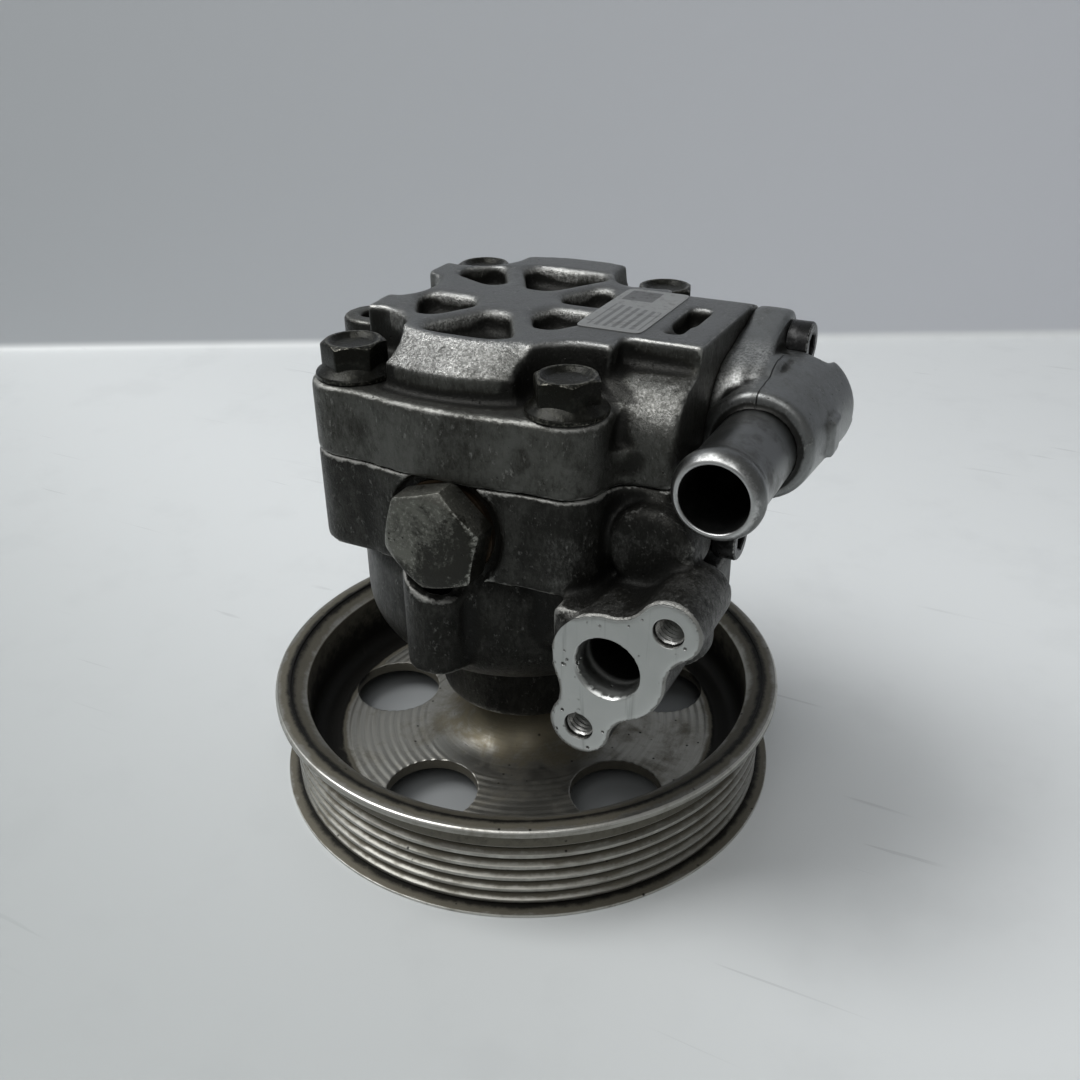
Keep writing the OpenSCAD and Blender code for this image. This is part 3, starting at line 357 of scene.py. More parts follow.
# The outlet's face: the middles of its bore and two screw holes in X and Z, its plane, and the radii of its rounds,
# of the fillets between them, of the bore and of the screw holes.
OUTLET, UPPER, LOWER = np.array([45.9, 69.9]), np.array([59.1, 82.5]), np.array([39.5, 52.9])
FACE_Y = -51.0
FACE_R, LOBE_R, FILLET, BORE_R, TAP_R = 13.0, 7.0, 8.0, 7.0, 3.4


def outlet_edge(p):
    """Distance of points in X and Z outside the milled face's outline, and the direction away from it.
    The outline is three rounds, and between each two neighbours a fillet on either side: inside the
    wedge that the two rounds' middles span at the fillet's own middle, the fillet is the edge."""
    rounds = ((OUTLET, FACE_R), (UPPER, LOBE_R), (LOWER, LOBE_R))
    span = FACE_R + FILLET
    away = np.stack([p - middle for middle, r in rounds])
    far = np.linalg.norm(away, axis=2)
    gap = far - np.array([r for middle, r in rounds])[:, None]
    which = gap.argmin(0)
    pick = np.arange(len(p))
    gap, lead = gap[which, pick], away[which, pick] / far[which, pick, None]
    for lobe, r in rounds[1:]:
        run = lobe - OUTLET
        swing = np.arccos((span ** 2 + run @ run - (r + FILLET) ** 2) / (2 * span * np.hypot(*run)))
        for side in (-swing, swing):
            heading = np.arctan2(run[1], run[0]) + side
            middle = OUTLET + span * np.array([np.cos(heading), np.sin(heading)])
            arms = np.stack([OUTLET - middle, lobe - middle], -1)
            share = np.linalg.solve(arms, (p - middle).T)
            wedge = (share > 0).all(0) & (share.sum(0) < 1)
            reach = np.linalg.norm(p - middle, axis=1)
            gap = np.where(wedge, FILLET - reach, gap)
            lead = np.where(wedge[:, None], (middle - p) / reach[:, None], lead)
    return gap, lead


def mill_housing(points):
    """Points near the outlet's face go onto its plane or onto the side just behind its edge, and points of
    its three holes onto their rounds, each with a small cone at its mouth."""
    p = points.copy()
    near = np.flatnonzero((p[:, 1] < FACE_Y + 1.3) & (p[:, 0] > 30))
    inward = p[near, 1] - FACE_Y
    gap, lead = outlet_edge(p[near][:, [0, 2]])
    face = inward < np.maximum(-gap, 0.45)
    shift = np.where(face, np.maximum(gap + 0.22, 0), gap)[:, None] * lead
    p[near, 0] -= shift[:, 0]
    p[near, 2] -= shift[:, 1]
    p[near, 1] = np.where(face, FACE_Y, np.maximum(p[near, 1], FACE_Y + 0.25))
    holes = ((OUTLET, BORE_R, 1.0, 24.0), (UPPER, TAP_R, 0.4, 16.0), (LOWER, TAP_R, 0.4, 16.0))
    for middle, r, cone, deep in holes:
        away = p[:, [0, 2]] - middle
        far = np.hypot(away[:, 0], away[:, 1])
        inward = points[:, 1] - FACE_Y
        want = r + cone * np.clip(1 - inward / (3 * cone), 0, 1)
        wall = (np.abs(far - want) < 0.8) & (inward > -0.4) & (inward < deep - 1)
        p[wall, 0] += away[wall, 0] * (want / far - 1)[wall]
        p[wall, 2] += away[wall, 1] * (want / far - 1)[wall]
    return p


def housing_metal():
    """Dark oily casting; the outlet's face is bright, with pits and fine scratches from milling and use."""
    f = CastMetal("housing_casting", (0.080, 0.080, 0.073), (0.0150, 0.0148, 0.0125), 0.05, 0.32)
    milled = f.step(f.along(1), FACE_Y + 0.3, FACE_Y + 0.1) * f.step(f.along(0), 30, 31)
    bored = f.step(f.off_axis((OUTLET[0], 0, OUTLET[1]), (1, 0, 1)), 8.25, 8.1) * f.step(f.along(1), -43, -46)
    milled = milled | bored
    pit = f.step(f.specks(1.9), 0.27, 0.12) * f.step(f.noise(6, 3), 0.50, 0.58)
    scratch = f.step(f.noise(2.2, 3, 0.6, (1, 1, 0.05), 0.4), 0.58, 0.72)
    bright = f.mix(f.noise(8, 4), (0.42, 0.43, 0.42), (0.54, 0.55, 0.535))
    bright = f.mix((scratch * 0.35) | (pit * 0.95), bright, (0.06, 0.058, 0.054))
    rough = f.rough * (1 - milled) + milled * (0.30 + f.noise(2, 3) * 0.12)
    return f.done(f.mix(milled, f.colour, bright), f.metal | milled, rough,
                  f.relief * (1 - milled * 0.94) - pit * milled * 1.5, 0.20)


def housing_skins(points, normals):
    """The outlet's arm and the round boss above it get a little blast, upward faces most, which paints them lighter
    than the rest as painted light against the elbow's shade.
    """
    x, y, z = points.T
    return ((x > 29) & (y < -18) & (z < 94)) * np.clip(normals[:, 2] + 0.6, 0, 1) * 0.22, 0 * x, 0 * x


housing = cast_skin("front_housing", 0.8, 5, housing_metal(), mill_housing, housing_skins)


# Threads of the outlet's two screw holes: cut with a tap in the housing's own aluminium once it was cast.
# They take the screws of the pressure pipe; the crests are bright, and the grooves hold a little dirt.
def bare_metal(name, colour, rough, dirt=0.35):
    """Machined metal with faint turning marks and thin brown-grey dirt in patches."""
    f = Finish(name)
    patch = f.step(f.noise(5, 5, 0.65), 0.50, 0.72)
    grain = f.noise(0.8, 4, 0.7)
    return f.done(f.mix(patch * dirt, f.mix(grain, [c * 0.8 for c in colour], colour), (0.07, 0.062, 0.05)),
                  1.0, grain * 0.16 + patch * 0.12 + (rough - 0.08), grain, 0.02)


thread_metal = bare_metal("thread_metal", (0.66, 0.66, 0.64), 0.30)
PITCH, ROOT_R, CREST_HIGH = 1.25, 3.36, 0.42
turns = np.linspace(0, 1, 49)[:-1]
deep = np.linspace(1.4, 15.4, 130)
for name, middle in (("outlet_thread_upper", UPPER), ("outlet_thread_lower", LOWER)):
    # A groove that climbs one pitch a turn: the radius falls and rises with the height past the turn's start.
    radius = ROOT_R - CREST_HIGH * np.abs(((deep[:, None] - PITCH * turns) / PITCH) % 1 * 2 - 1)
    screw = np.stack([middle[0] + radius * np.cos(2 * np.pi * turns), FACE_Y + deep[:, None] + 0 * radius,
                      middle[1] + radius * np.sin(2 * np.pi * turns)], -1)
    thread = put(name, screw, quads(len(deep), len(turns), True), thread_metal, 25)
    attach(thread, "pump_body")

# Shaft line and rotor group: ground steel, bearing steel, bronze and rubber pieces inside the castings.
# They keep the shapes of their solids, and each gets the finish of its own metal.
steel = bare_metal("ground_steel", (0.52, 0.51, 0.49), 0.30, 0.2)
race_steel = bare_metal("bearing_steel", (0.60, 0.60, 0.60), 0.22, 0.1)
bronze = bare_metal("bearing_bronze", (0.55, 0.40, 0.20), 0.36, 0.3)
oiled_copper = bare_metal("oiled_copper", (0.10, 0.07, 0.045), 0.45, 0.8)
clip_steel = bare_metal("clip_steel", (0.12, 0.115, 0.11), 0.42, 0.3)


def oiled_rubber():
    """Black rubber, wet with oil, with a faint grey bloom."""
    f = Finish("oiled_rubber")
    bloom = f.noise(2.5, 4)
    return f.done(f.mix(bloom, (0.012, 0.012, 0.012), (0.035, 0.034, 0.033)), 0.0, bloom * 0.2 + 0.4, bloom, 0.03)


rubber = oiled_rubber()
for finish, nodes in ((steel, "drive_shaft rotor cam_ring pressure_plate dowel_pins vanes flow_valve_spool"),
                      (race_steel, "bearing_outer_race bearing_inner_race bearing_balls"),
                      (bronze, "bearing_cage shaft_bush"), (oiled_copper, "plug_washer"),
                      (clip_steel, "bearing_circlip rotor_clip"),
                      (rubber, "shaft_seal plate_seal cover_seal elbow_seal")):
    for node in nodes.split():
        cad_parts[node].data.materials.clear()
        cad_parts[node].data.materials.append(finish)


# Flow valve spring: a coil of steel wire that stands in the spool's cup and on the bottom of the valve's bore.
# The wire's middle runs round the bore's axis and climbs evenly; each ring of points is a circle about that middle,
# shrunk to a point at the cut ends.
SPRING, SPRING_LONG = np.array([4.5, -24.9, 90.9]), 12.4
COILS, COIL_R, WIRE_R, CLIMB = 5, 3.65, 0.55, 2.26
coil = np.concatenate([[0], np.linspace(0, COILS, 201), [COILS]])[:, None]
wire = np.concatenate([[0], np.full(201, WIRE_R), [0]])[:, None]
around = np.linspace(0, 2 * np.pi, 13)[:-1]
out = COIL_R + wire * np.cos(around)
turned = np.stack([out * np.cos(2 * np.pi * coil), WIRE_R + CLIMB * coil + wire * np.sin(around),
                   -out * np.sin(2 * np.pi * coil)], -1)
spring = put("valve_spring_coil", SPRING + turned, quads(len(coil), len(around), True), steel, 50)
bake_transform(spring)
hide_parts("flow_valve_spring")


# Rear cover: a second aluminium casting over the rotor group, with a pocketed top that saves weight.
# The level top is worn to a satin grey; the sloping facet, the pockets and the suction boss still sparkle, partly
# with painted glints, and the facet and boss are painted lighter where the light falls on them.
FRONT_BOLTS = ((-23.5, -34.5), (29.3, -35.2))


def cover_skins(points, normals):
    """Blast is 1 on the sloping facet, fading towards its right as painted light, and less in the pockets and on
    the suction boss, whose upward faces alone get it as painted light; polish is 1 on the top, and soot, dirt with
    painted shade, lies in the wells of the two front bolts and beside the left one."""
    x, y, z = points.T
    out = np.hypot(x, y)
    slope = (normals[:, 2] > 0.45) & (normals[:, 2] < 0.97) & (normals[:, 0] < 0.45)
    facet = slope & (z > 124.2) & (y < -20) & (out > 30.5) & (x < 21)
    pocket = (z > 123) & (z < 129) & (out < 31.5)
    # painted light: only the boss's upward faces get the lighter coarse skin, so its sides stay dark as if shaded
    boss = ((x > 38) & (z < 124.5)) * np.clip(normals[:, 2] * 2 - 0.2, 0, 1)
    polish = np.clip(z - 128.6, 0, 1)
    to_bolt = np.min([np.hypot(x - a, y - b) for a, b in FRONT_BOLTS], axis=0)
    # dirt and painted shade: the wells round the two front bolts are made black
    well = np.clip((15.5 - to_bolt) / 2, 0, 1) * (z > 119.6) * (z < 129) * (1 - facet)
    # painted shadow: side blackens the steep faces left of the left front bolt, where a dark gap shows
    side = (x < -24) * (y < -4) * (y > -30) * (normals[:, 2] < 0.75) * (z > 119.6) * (z < 129.2)
    # painted light: the facet's coarse skin fades towards its right, painting that side darker as the light falls
    coarse = facet * (0.92 - 0.7 * np.clip(x / 15, 0, 1)) + pocket * 0.45 + boss * 0.22
    return coarse, polish, np.maximum(well * 0.6, side * 0.8)


def cover_metal():
    """The same kind of casting as the housing, cleaner and a little brighter."""
    f = CastMetal("cover_casting", (0.135, 0.136, 0.125), (0.030, 0.0295, 0.0245), 0.0, 0.31)
    return f.done(f.colour, f.metal, f.rough, f.relief, 0.20)


def cover_soft(points):
    """1 round the pockets of the top, whose rims are wide rounds, and 0 away from them."""
    out = np.hypot(points[:, 0], points[:, 1])
    return np.clip((31 - out) / 2, 0, 1) * np.clip((points[:, 2] - 122) / 2, 0, 1)


cover = cast_skin("rear_cover", 0.75, 5, cover_metal(), skins=cover_skins, soften=cover_soft)


# Cover bolts: four flanged hex bolts with dished heads, dark from phosphate and oil, worn on their corners.
# The sections run from the shank's end over the flange, up the hexagon, round its chamfer and into the dish.
def hexagon(flats, angle):
    """Radius of a hexagon with slightly round corners: the flats' distance over a high-power mean of the
    cosines to its three flat directions."""
    return flats / 2 / sum(np.abs(np.cos(angle - k * np.pi / 3)) ** 48 for k in range(3)) ** (1 / 48)


def bolt_steel(name, tone, worn):
    """Phosphated steel, nearly black and a little olive, with thin dust and bare metal on the corners."""
    f = Finish(name)
    f.feed(f.surface, {"Specular IOR Level": 0.25})
    dust = f.step(f.noise(3.5, 5, 0.65), 0.48, 0.72)
    grain = f.noise(0.7, 4, 0.7)
    bare = f.step(f.attribute("worn") + (grain - 0.5) * 1.4, 0.62, 0.95)
    colour = f.mix(dust, tone, [c * 3 + 0.008 for c in tone])
    rough = dust * 0.16 + grain * 0.22 + 0.18
    return f.done(f.mix(bare * 0.8, colour, worn), bare * 0.4 + 0.5, rough, grain + dust, 0.06)


angle = np.linspace(0, 2 * np.pi, 97)[:-1]


def lay(sections):
    """Radius and height of every section at every angle, as two grids; a section is a circle or a hexagon."""
    return [np.stack([np.broadcast_to(section[k], angle.shape) for section in sections]) for k in (0, 1)]


dark_steel = bolt_steel("dark_steel", (0.008, 0.008, 0.006), (0.20, 0.195, 0.165))
SEAT_Z, BOLT_FLATS, FLANGE_R, HEAD_HIGH = 119.2, 13.0, 8.9, 8.0
hexa = hexagon(BOLT_FLATS, angle)
chamfer = HEAD_HIGH - (hexa - 6.2) * 0.55
collar = (FLANGE_R - hexa) / 1.6
sections = [(0, -32.5), (3.2, -32.5), (4, -31.7), (4, 0), (8.6, 0), (FLANGE_R, 0.25), (FLANGE_R, 0.9), (8.72, 1.2),
            (8.3, 1.45), (hexa + 0.25, 1.25 + collar), (hexa, 1.5 + collar), (hexa, chamfer - 0.25),
            (hexa - 0.12, chamfer), (6.35, 7.93), (6.1, HEAD_HIGH), (5.6, 7.97), (5.3, 7.8), (4.5, 7.0),
            (4.1, 6.85), (0, 6.8)]
wear = np.array([0, 0, 0, 0, 0.2, 0.7, 0.6, 0.4, 0, 0, 0, 0.25, 0.75, 0.55, 0.8, 0.7, 0.3, 0, 0, 0])
radius, height = lay(sections)
heads = []
for x, y, turn in ((-23.5, -34.5, 32), (29.3, -35.2, 4), (23.5, 34.5, 49), (-29.3, 35.2, 18)):
    spin = angle + radians(turn + 30)
    heads.append(np.stack([x + radius * np.cos(spin), y + radius * np.sin(spin), SEAT_Z + height], -1))
faces = quads(len(sections), len(angle), True)
bolts = put("cover_bolts_worn", heads, np.concatenate([faces + i * radius.size for i in range(len(heads))]),
            dark_steel, 28, worn=np.tile(np.repeat(wear, len(angle)), len(heads)))
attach(bolts, "pump_body")
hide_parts("cover_bolts")


# Valve plug: a steel hex plug with a flat head, dirty and pitted, screwed in on a soft washer.
# Its sections run from the shank's inner end to the middle of the outer face, along -Y.
PLUG_X, PLUG_Z, PLUG_FLATS = 4.5, 90.9, 22.0


def pitted_steel():
    """Grey steel that is lighter towards its upper left, with dark pits and bare metal on the corners."""
    f = Finish("pitted_steel")
    cloud = f.noise(8, 6, 0.72, warp=0.8)
    grain = f.noise(0.8, 5, 0.75)
    scrape = f.noise(1.6, 4, 0.7, (0.5, 1, 0.25), 0.6)
    # tilt makes the face lighter towards its upper left
    tilt = (f.along(2) - PLUG_Z) * 0.005 - (f.along(0) - PLUG_X) * 0.006
    clean = f.step(cloud * 0.7 + scrape * 0.1 + grain * 0.2 + tilt, 0.44, 0.60)
    pit = f.step(f.specks(1.5), 0.24, 0.08) * f.step(f.noise(5, 3), 0.46, 0.56)
    bare = f.step(f.attribute("worn") + (grain - 0.5) * 2.0, 0.55, 0.95)
    colour = f.mix(clean, (0.014, 0.0136, 0.010), (0.155, 0.155, 0.136))
    colour = f.mix((bare * 0.75) | (f.step(grain, 0.54, 0.66) * clean * 0.5), colour, (0.38, 0.38, 0.345))
    return f.done(f.mix(pit * 0.85, colour, (0.012, 0.0115, 0.010)), clean * 0.4 + 0.6, grain * 0.25 + 0.26,
                  grain * 0.8 + cloud * 0.6 - pit, 0.14)


hexa = hexagon(PLUG_FLATS, angle)
brim = -52.5 + (hexa - 10.4) * 0.5
sections = [(0, -30.5), (8.2, -30.5), (9, -31.3), (9, -45.0), (hexa - 0.4, -45.0), (hexa, -45.4),
            (hexa, brim + 0.35), (hexa - 0.15, brim), (10.5, -52.42), (10.1, -52.5), (6, -52.54), (0, -52.55)]
wear = np.array([0, 0, 0, 0, 0, 0.3, 0.35, 0.8, 0.45, 0.3, 0.1, 0.1])
radius, reach = lay(sections)
spin = angle + radians(17 + 30)
head = np.stack([PLUG_X + radius * np.cos(spin), reach, PLUG_Z + radius * np.sin(spin)], -1)
plug = put("valve_plug_worn", head, quads(len(sections), len(angle), True), pitted_steel(), 28,
           worn=np.repeat(wear, len(angle)))
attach(plug, "pump_body")
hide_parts("valve_plug")


# Suction elbow: a smooth aluminium casting held on the cover by two screws, with a turned tube for the hose.
# The tube's end is rolled to a bead, so that the hose's clip can't slip off; both are satin grey.
def elbow_metal():
    """Smooth grey casting with the dark line of the mould's joint along the top, as far as the collar."""
    f = CastMetal("elbow_casting", (0.235, 0.242, 0.24), (0.050, 0.050, 0.046), -0.09, 0.34)
    joint = f.step(abs(f.along(0) + f.noise(6, 2) * 0.8 - 62.6), 0.22, 0.08)
    joint = joint * f.step(f.along(2), 112, 116) * f.step(f.along(1), 9, 6)
    return f.done(f.mix(joint * 0.9, f.colour, (0.015, 0.015, 0.014)), f.metal, f.rough, f.relief - joint * 2, 0.05)


def elbow_skins(points, normals):
    """The hollow between the elbow's round body and its plate keeps a coarse skin."""
    x, y, z = points.T
    return (x < 60.5) * (z > 112) * np.clip((y + 12) / 4, 0, 1) * np.clip((9 - y) / 5, 0, 1) * 0.4, 0 * x, 0 * x


def elbow_soft(points):
    """1 at the back of the elbow, where its body runs into the upper lug beside the screw."""
    return np.clip((points[:, 1] - 9) / 4, 0, 1) * (points[:, 2] > 106)


elbow = cast_skin("suction_elbow", 0.6, 4, elbow_metal(), skins=elbow_skins, ends=-12.7, soften=elbow_soft)


def rounded(corners, radius, steps=3):
    """A profile whose inner corners are short curves: each starts and ends at most radius away from its
    corner, along the two sides, and is the square-law blend of start, corner and end."""
    c = np.asarray(corners, float)
    side = np.linalg.norm(np.diff(c, axis=0), axis=1)
    cut = np.minimum(radius, 0.4 * np.minimum(side[:-1], side[1:]))[:, None]
    start = c[1:-1] + (c[:-2] - c[1:-1]) * cut / side[:-1, None]
    end = c[1:-1] + (c[2:] - c[1:-1]) * cut / side[1:, None]
    t = np.linspace(0, 1, steps)[None, :, None]
    curve = (1 - t) ** 2 * start[:, None] + 2 * t * (1 - t) * c[1:-1, None] + t ** 2 * end[:, None]
    return np.concatenate([c[:1], curve.reshape(-1, 2), c[-1:]])


def tube_metal():
    """Satin drawn aluminium: fine rings round the tube, dull smears, and a bright rubbed bead."""
    f = Finish("tube_aluminium")
    rings = f.noise(0.5, 3, 0.6, (0.05, 1, 0.05))
    smear = f.step(f.noise(7, 5, 0.65), 0.45, 0.70)
    bare = f.step(f.attribute("worn") + (f.noise(0.8, 4, 0.7) - 0.5) * 0.8, 0.35, 0.9)
    colour = f.mix(bare * 0.85, f.mix(smear, (0.19, 0.194, 0.192), (0.105, 0.105, 0.10)), (0.56, 0.565, 0.56))
    return f.done(colour, 1.0, smear * 0.14 + rings * 0.12 + 0.24, rings, 0.015)


TUBE_X, TUBE_Z, TUBE_END = 63.0, 108.0, -40.0
lip = [(8.4, 31), (8.4, 27.6), (7.3, 27), (7.3, 4), (7.3, 0.5), (7.5, 0.1), (7.9, 0), (8.4, 0.2), (8.9, 0.8),
       (9.5, 1.7), (9.85, 2.8), (9.85, 3.7), (9.6, 4.8), (9.25, 5.8), (9.05, 6.8), (9, 8), (9, 31)]
lip = rounded(rounded(lip, 1.2, 3), 0.5, 3)
wear = np.interp(lip[:, 1], [0, 0.6, 1.5, 3.2, 5.0, 7.0], [0.9, 0.6, 0.35, 0.4, 0.2, 0.05]) * (lip[:, 0] > 7.35)
ring = np.linspace(0, 2 * np.pi, 161)[:-1]
wall = np.stack([TUBE_X + lip[:, :1] * np.cos(ring), TUBE_END + lip[:, 1:] + 0 * ring,
                 TUBE_Z + lip[:, :1] * np.sin(ring)], -1)
tube = put("suction_tube", wall, quads(len(lip), len(ring), True), tube_metal(), 50,
           worn=np.repeat(wear, len(ring)))
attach(tube, "pump_body")

# Elbow screws: two socket-head screws of black steel through the elbow's lugs.
# Sections run from the shank's end, over the head and down into the hexagon socket, along +X.
SOCKET_FLATS = 5.0
hexa = hexagon(SOCKET_FLATS, angle)
sections = [(0, -19.0), (2.6, -19.0), (3, -18.5), (3, 0), (4.9, 0), (5.22, 0.3), (5.22, 4.6), (5.05, 5.0),
            (4.7, 5.22), (hexa + 0.35, 5.22), (hexa, 4.9), (hexa, 2.1), (0, 2.0)]
wear = np.array([0, 0, 0, 0, 0, 0.2, 0.3, 0.8, 0.7, 0.5, 0.3, 0, 0])
radius, reach = lay(sections)
heads = []
for x, y, z, grip in ((60.0, 20.8, 121.5, 19.0), (57.0, -14.5, 87.3, 16.0)):
    heads.append(np.stack([x + np.maximum(reach, -grip), y + radius * np.cos(angle),
                           z + radius * np.sin(angle)], -1))
faces = quads(len(sections), len(angle), True)
screws = put("elbow_screws_worn", heads, np.concatenate([faces, faces + radius.size]),
             bolt_steel("black_steel", (0.020, 0.020, 0.020), (0.34, 0.34, 0.33)), 28,
             worn=np.tile(np.repeat(wear, len(angle)), 2))
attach(screws, "pump_body")
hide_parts("elbow_screws")


# Label: thin metal foil with a glued back, pressed on the level top of the cover beside its pockets.
# It bears no print; handling has scuffed it, and its rim stands up a little.
def label_foil():
    """Silver foil; a grey square field and six plain bars stand where a maker would print."""
    f = Finish("label_foil")
    scuff = f.step(f.noise(3, 5, 0.7), 0.50, 0.66)
    grain = f.noise(0.6, 3, 0.7)
    x, y = f.along(0), f.along(1)
    rows = f.step(x % 2.1, 1.05, 1.18) * f.step(x, 22.6, 22.7) * f.step(x, 35.2, 35.1)
    bars = rows * f.step(y, -11.6, -11.5) * f.step(y + x * 0.25, 11.0, 10.9)
    field = f.step(x, 22.2, 22.3) * f.step(x, 30.0, 29.9) * f.step(y, 9.0, 9.1) * f.step(y, 17.0, 16.9)
    colour = f.mix(scuff * 0.5, (0.29, 0.295, 0.29), (0.20, 0.20, 0.195))
    colour = f.mix((bars * 0.55) | (field * 0.7), colour, (0.06, 0.06, 0.062))
    return f.done(colour, 0.6, scuff * 0.18 + 0.36, grain + scuff, 0.03)


# A rounded rectangle in rings from its rim to its middle: the high corner power keeps the sides straight.
LABEL_X, LABEL_Y, HALF_WIDE, HALF_LONG, CORNER = 28.4, 2.6, 7.8, 16, 14
spread = np.linspace(0, 2 * np.pi, 121)[:-1]
shape = (np.abs(np.cos(spread)) ** CORNER + np.abs(np.sin(spread)) ** CORNER) ** (-1 / CORNER)
rims = [(1.0, 130.02), (1.0, 130.15), (0.985, 130.2), (0.9, 130.19), (0.6, 130.18), (0.3, 130.18), (0.0, 130.18)]
foil = np.stack([np.stack([LABEL_X + HALF_WIDE * k * shape * np.cos(spread),
                           LABEL_Y + HALF_LONG * k * shape * np.sin(spread), z + 0 * spread], -1) for k, z in rims])
label = put("blank_label_foil", foil, quads(len(rims), len(spread), True), label_foil(), 30)
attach(label, "pump_body")
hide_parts("blank_label")


# Pulley: one turned piece of bare steel pressed on the shaft, with five belt grooves and a dished, spun web.
# Oil has stained it brown round the hub; inside the rim it is black with oil and painted shade, the groove roots
# and the land under the flange carry painted shade, and the belt keeps the groove crests bright.
def pulley_steel():
    """Turned steel: fine lines that run round, brown oil stains, black where dirt and painted shade lie, a rim top
    painted darker as painted shade, and bright crests.
    """
    f = Finish("pulley_steel")
    out = f.off_axis((0, 0, 0), (1, 1, 0))
    trace = f.node("ShaderNodeCombineXYZ", None, {0: out, 2: f.along(2)})
    lines = Value(f, f.node("ShaderNodeTexNoise", None, {
        "Vector": trace, "Scale": 2.2, "Detail": 4.0, "Roughness": 0.7}))
    cloud = f.noise(13, 6, 0.65, warp=0.6)
    blotch = f.noise(3.2, 5, 0.7)
    dirt, crest = f.attribute("dirt"), f.attribute("crest")
    hub = f.step(out, 30, 20)
    # painted shade: top marks the rim's top face, which is painted darker to offset the lamp above
    top = f.step(f.along(2), 25.2, 26.2) * f.step(out, 68.7, 68.4)
    stain = f.step(cloud * 0.65 + blotch * 0.35 + dirt * 0.5 + hub * 0.06, 0.46, 0.70)
    speck = f.step(f.specks(3.6), 0.13, 0.06) * f.step(cloud, 0.45, 0.54)
    steel = f.mix(lines, (0.21, 0.206, 0.187), (0.38, 0.372, 0.338))
    steel = f.mix(top * 0.2, steel, (0.10, 0.10, 0.094))
    steel = f.mix(f.step(crest + (blotch - 0.5) * 0.9, 0.3, 0.8), steel, (0.55, 0.545, 0.51))
    brown = f.mix(blotch, (0.045, 0.039, 0.025), f.mix(hub, (0.14, 0.125, 0.088), (0.16, 0.130, 0.064)))
    colour = f.mix(stain * 0.8, steel, brown)
    # painted shade with dirt: the dirt mark's black covers the rim's inner wall, the groove roots and the land
    # under the flange as well as oil
    black = (f.step(dirt + (blotch - 0.5) * 0.7, 0.55, 0.95) * 0.96) | (speck * 0.9)
    colour = f.mix(black, colour, (0.008, 0.0076, 0.0068))
    rough = stain * 0.16 + lines * 0.2 + (0.28 - crest * 0.06) - hub * 0.12
    f.feed(f.surface, {"Specular IOR Level": 0.25})
    return f.done(colour, 0.92 - stain * 0.35, rough, lines + blotch * 0.3, 0.05)


WEB_TOP, WEB_UNDER, WEB_IN, WEB_OUT = 8.8, 5.8, 27.5, 55
HOLES_AT, HOLE_R, FIRST_HOLE = 41, 12.0, -100.6
GROOVES, GROOVE_PITCH, RING_PITCH, RING_HIGH = 5, 3.56, 2.25, 0.10


def spun(out):
    """Height of the web's upper face: level, with evenly spaced rolled rings that fade out at both ends."""
    fade = np.clip((out - 28.2) / 1.5, 0, 1) * np.clip((54.2 - out) / 1.5, 0, 1)
    return WEB_TOP + RING_HIGH * fade * np.sin(2 * np.pi * out / RING_PITCH)


bow = np.radians(np.linspace(-90, 0, 9))
flare = np.radians(np.linspace(270, 180, 22))
# The belt grooves come from the top down; the land above them reaches up to the flange.
notch = np.array([(62.4, 2.536), (62.4, 2.024), (65, 1), (65, 0)])
lift = np.stack([np.zeros(GROOVES), 1.4 + GROOVE_PITCH * np.arange(GROOVES - 1, -1, -1)], -1)
flange = [(60.6, 25), (64.9, 27), (64.9, 27.5), (68.5, 27.5), (69, 27), (69, 25.7), (65, 23.7), (65, 19.2)]
foot = [(63.5, 0.8), (68.3, 0.8), (68.3, 0), (60.6, 0), (60.6, WEB_UNDER), (WEB_OUT, WEB_UNDER)]
rim = np.concatenate([[(WEB_OUT, WEB_TOP)], np.stack([56.6 + 4 * np.cos(bow), 12.8 + 4 * np.sin(bow)], -1),
                      flange, (notch + lift[:, None]).reshape(-1, 2), foot])
sleeve = [(13.5, 22.5), (8.52, 22.5), (8.52, 0.5), (13.5, 0.5), (16.5, WEB_UNDER), (WEB_IN, WEB_UNDER)]
hub = np.concatenate([[(WEB_IN, WEB_TOP)], np.stack([26.5 + 13 * np.cos(flare), 21.8 + 13 * np.sin(flare)], -1),
                      sleeve])
around = radians(FIRST_HOLE - 36) + np.linspace(0, 2 * np.pi, 241)[:-1]
points, faces, dirt, crest = [], [], [], []


def add(grid, turn, grime, gleam):
    """Adds one grid of points with its faces and two marks for each of its points."""
    faces.append(quads(grid.shape[0], grid.shape[1], turn) + sum(len(p) for p in points))
    points.append(grid.reshape(-1, 3))
    dirt.append(np.broadcast_to(grime, grid.shape[:2]).ravel())
    crest.append(np.broadcast_to(gleam, grid.shape[:2]).ravel())


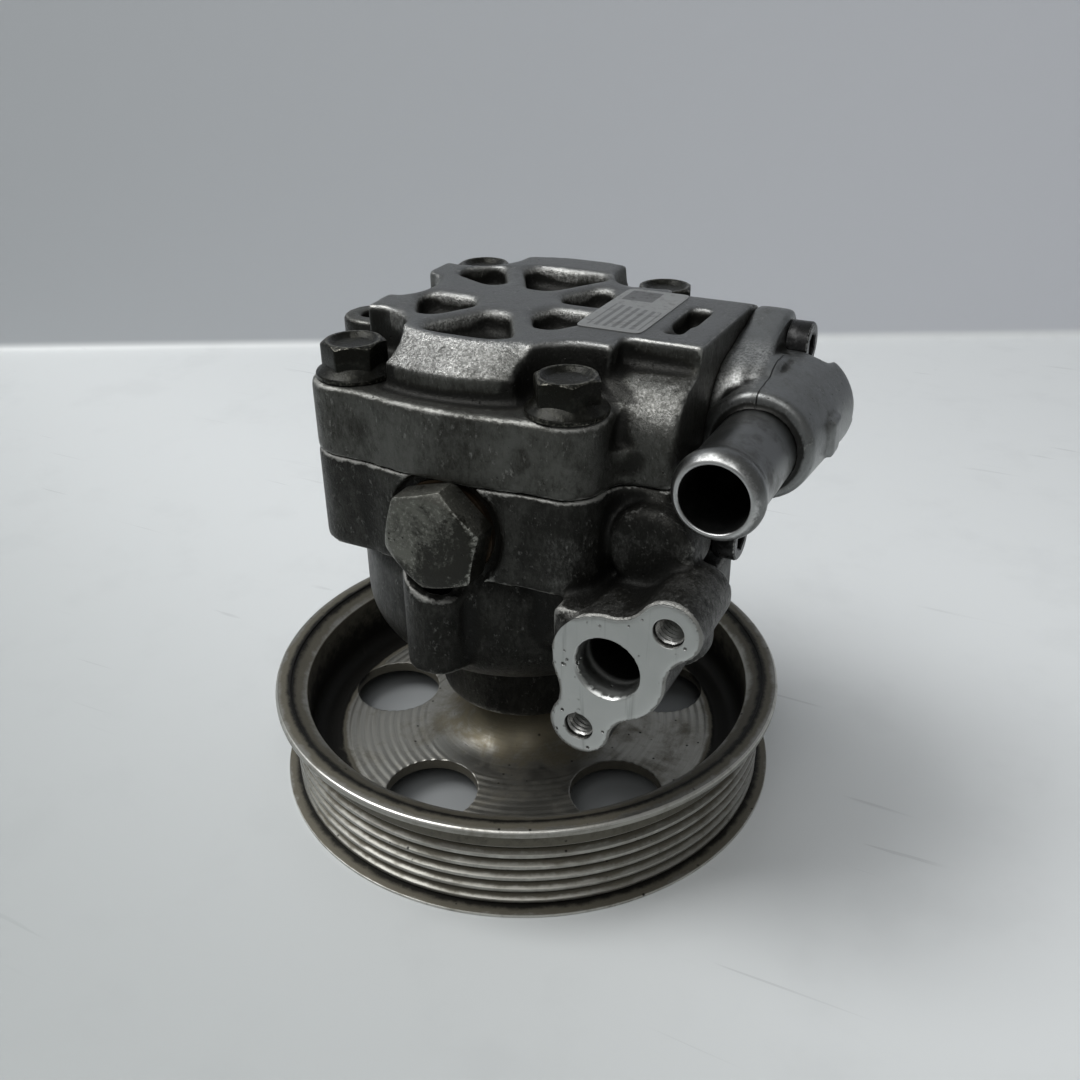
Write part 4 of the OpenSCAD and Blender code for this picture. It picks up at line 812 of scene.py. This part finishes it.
for profile, radius in ((rim, 0.32), (hub, 0.3)):
    line = rounded(profile, radius)
    grid = np.stack([line[:, :1] * np.cos(around), line[:, :1] * np.sin(around), line[:, 1:] + 0 * around], -1)
    r, z = line.T
    # The dirt mark holds oil and painted shade: the rim's inner wall is black with oil and painted shade, the
    # groove roots get painted shade, shade paints the upper flange's shadow on the land and darkens the lower
    # flange's upper face, the top ring's inner lip is darker, and the hub's neck holds oil.
    inner_wall = ((r > 54) & (r < 60.8) & (z > 8)) * np.clip((26.5 - z) / 3, 0, 1)
    lip = (np.abs(r - 64.75) < 0.5) & (z > 26.3)
    neck = (r < 27) * np.clip((z - 8) / 8, 0, 1) * 0.5
    root = (r > 62) & (r < 64) & (z > 0.5) & (z < 22)
    edge = (r > 68.4) & (z > 26.8) | (r > 68.1) & (z < 1)
    bright = ((r > 64.8) & (r < 65.1) & (z < 20.3)) * 0.45 + edge * 0.8
    shade = ((r > 62) & (r < 68.7) & (z > 19.5) & (z < 26)) * 0.65 + ((r > 63) & (r < 68.1) & (z < 1)) * 0.3
    add(grid, True, (inner_wall + lip + neck + root + shade)[:, None], bright[:, None])

# Each fifth of the web is drawn outwards from its hole: straight rays from the hole's edge to the border
# of the sector, on the upper face, down the hole's wall, and back out on the lower face.
TOP_ROWS, WALL_ROWS, UNDER_ROWS = 38, 4, 7
half = np.pi / 5
arc = np.linspace(-half, half, 49)
ray = np.linspace(WEB_IN, WEB_OUT, 37)
border = np.concatenate([np.stack([WEB_IN * np.cos(arc), WEB_IN * np.sin(arc)], -1)[:-1],
                         np.outer(ray, [np.cos(half), np.sin(half)])[:-1],
                         np.stack([WEB_OUT * np.cos(arc[::-1]), WEB_OUT * np.sin(arc[::-1])], -1)[:-1],
                         np.outer(ray[::-1], [np.cos(half), -np.sin(half)])[:-1]])
from_hole = border - (HOLES_AT, 0)
far = np.linalg.norm(from_hole, axis=1)
steps = np.concatenate([np.linspace(1, 0, TOP_ROWS), np.zeros(WALL_ROWS), np.linspace(0, 1, UNDER_ROWS)])
edge = HOLE_R + np.concatenate([np.full(TOP_ROWS, 0.3), [0.08, 0, 0, 0.12], np.full(UNDER_ROWS, 0.35)])
reach = edge[:, None] + steps[:, None] * (far - edge[:, None])
flat = np.array([HOLES_AT, 0]) + reach[..., None] * (from_hole / far[:, None])
out = np.linalg.norm(flat, axis=-1)
upper = spun(out)
row = np.arange(len(steps))[:, None]
level = np.where(row < TOP_ROWS, upper, WEB_UNDER)
brink = upper[TOP_ROWS]
sunk = np.array([0.08, 0.32, 2.6, 2.95])[:, None] / 3
level[TOP_ROWS:TOP_ROWS + WALL_ROWS] = brink - sunk * (brink - WEB_UNDER)
# the web is darker at its outer corner and on the holes' walls
corner = np.clip((out - 51) / 2, 0, 1) * (level > 8)
wall = (row > TOP_ROWS) & (row < TOP_ROWS + WALL_ROWS)
burr = np.abs(row - TOP_ROWS) < 2
for i in range(5):
    turn = radians(FIRST_HOLE + 72 * i)
    sector = np.stack([flat[..., 0] * np.cos(turn) - flat[..., 1] * np.sin(turn),
                       flat[..., 0] * np.sin(turn) + flat[..., 1] * np.cos(turn), level], -1)
    add(sector, True, np.maximum(corner, wall * 0.5), burr * 0.4)
pulley = put("pulley_turned", np.concatenate(points), np.concatenate(faces), pulley_steel(), 32,
             dirt=np.concatenate(dirt), crest=np.concatenate(crest))
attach(pulley, "drive_line")
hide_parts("pulley")
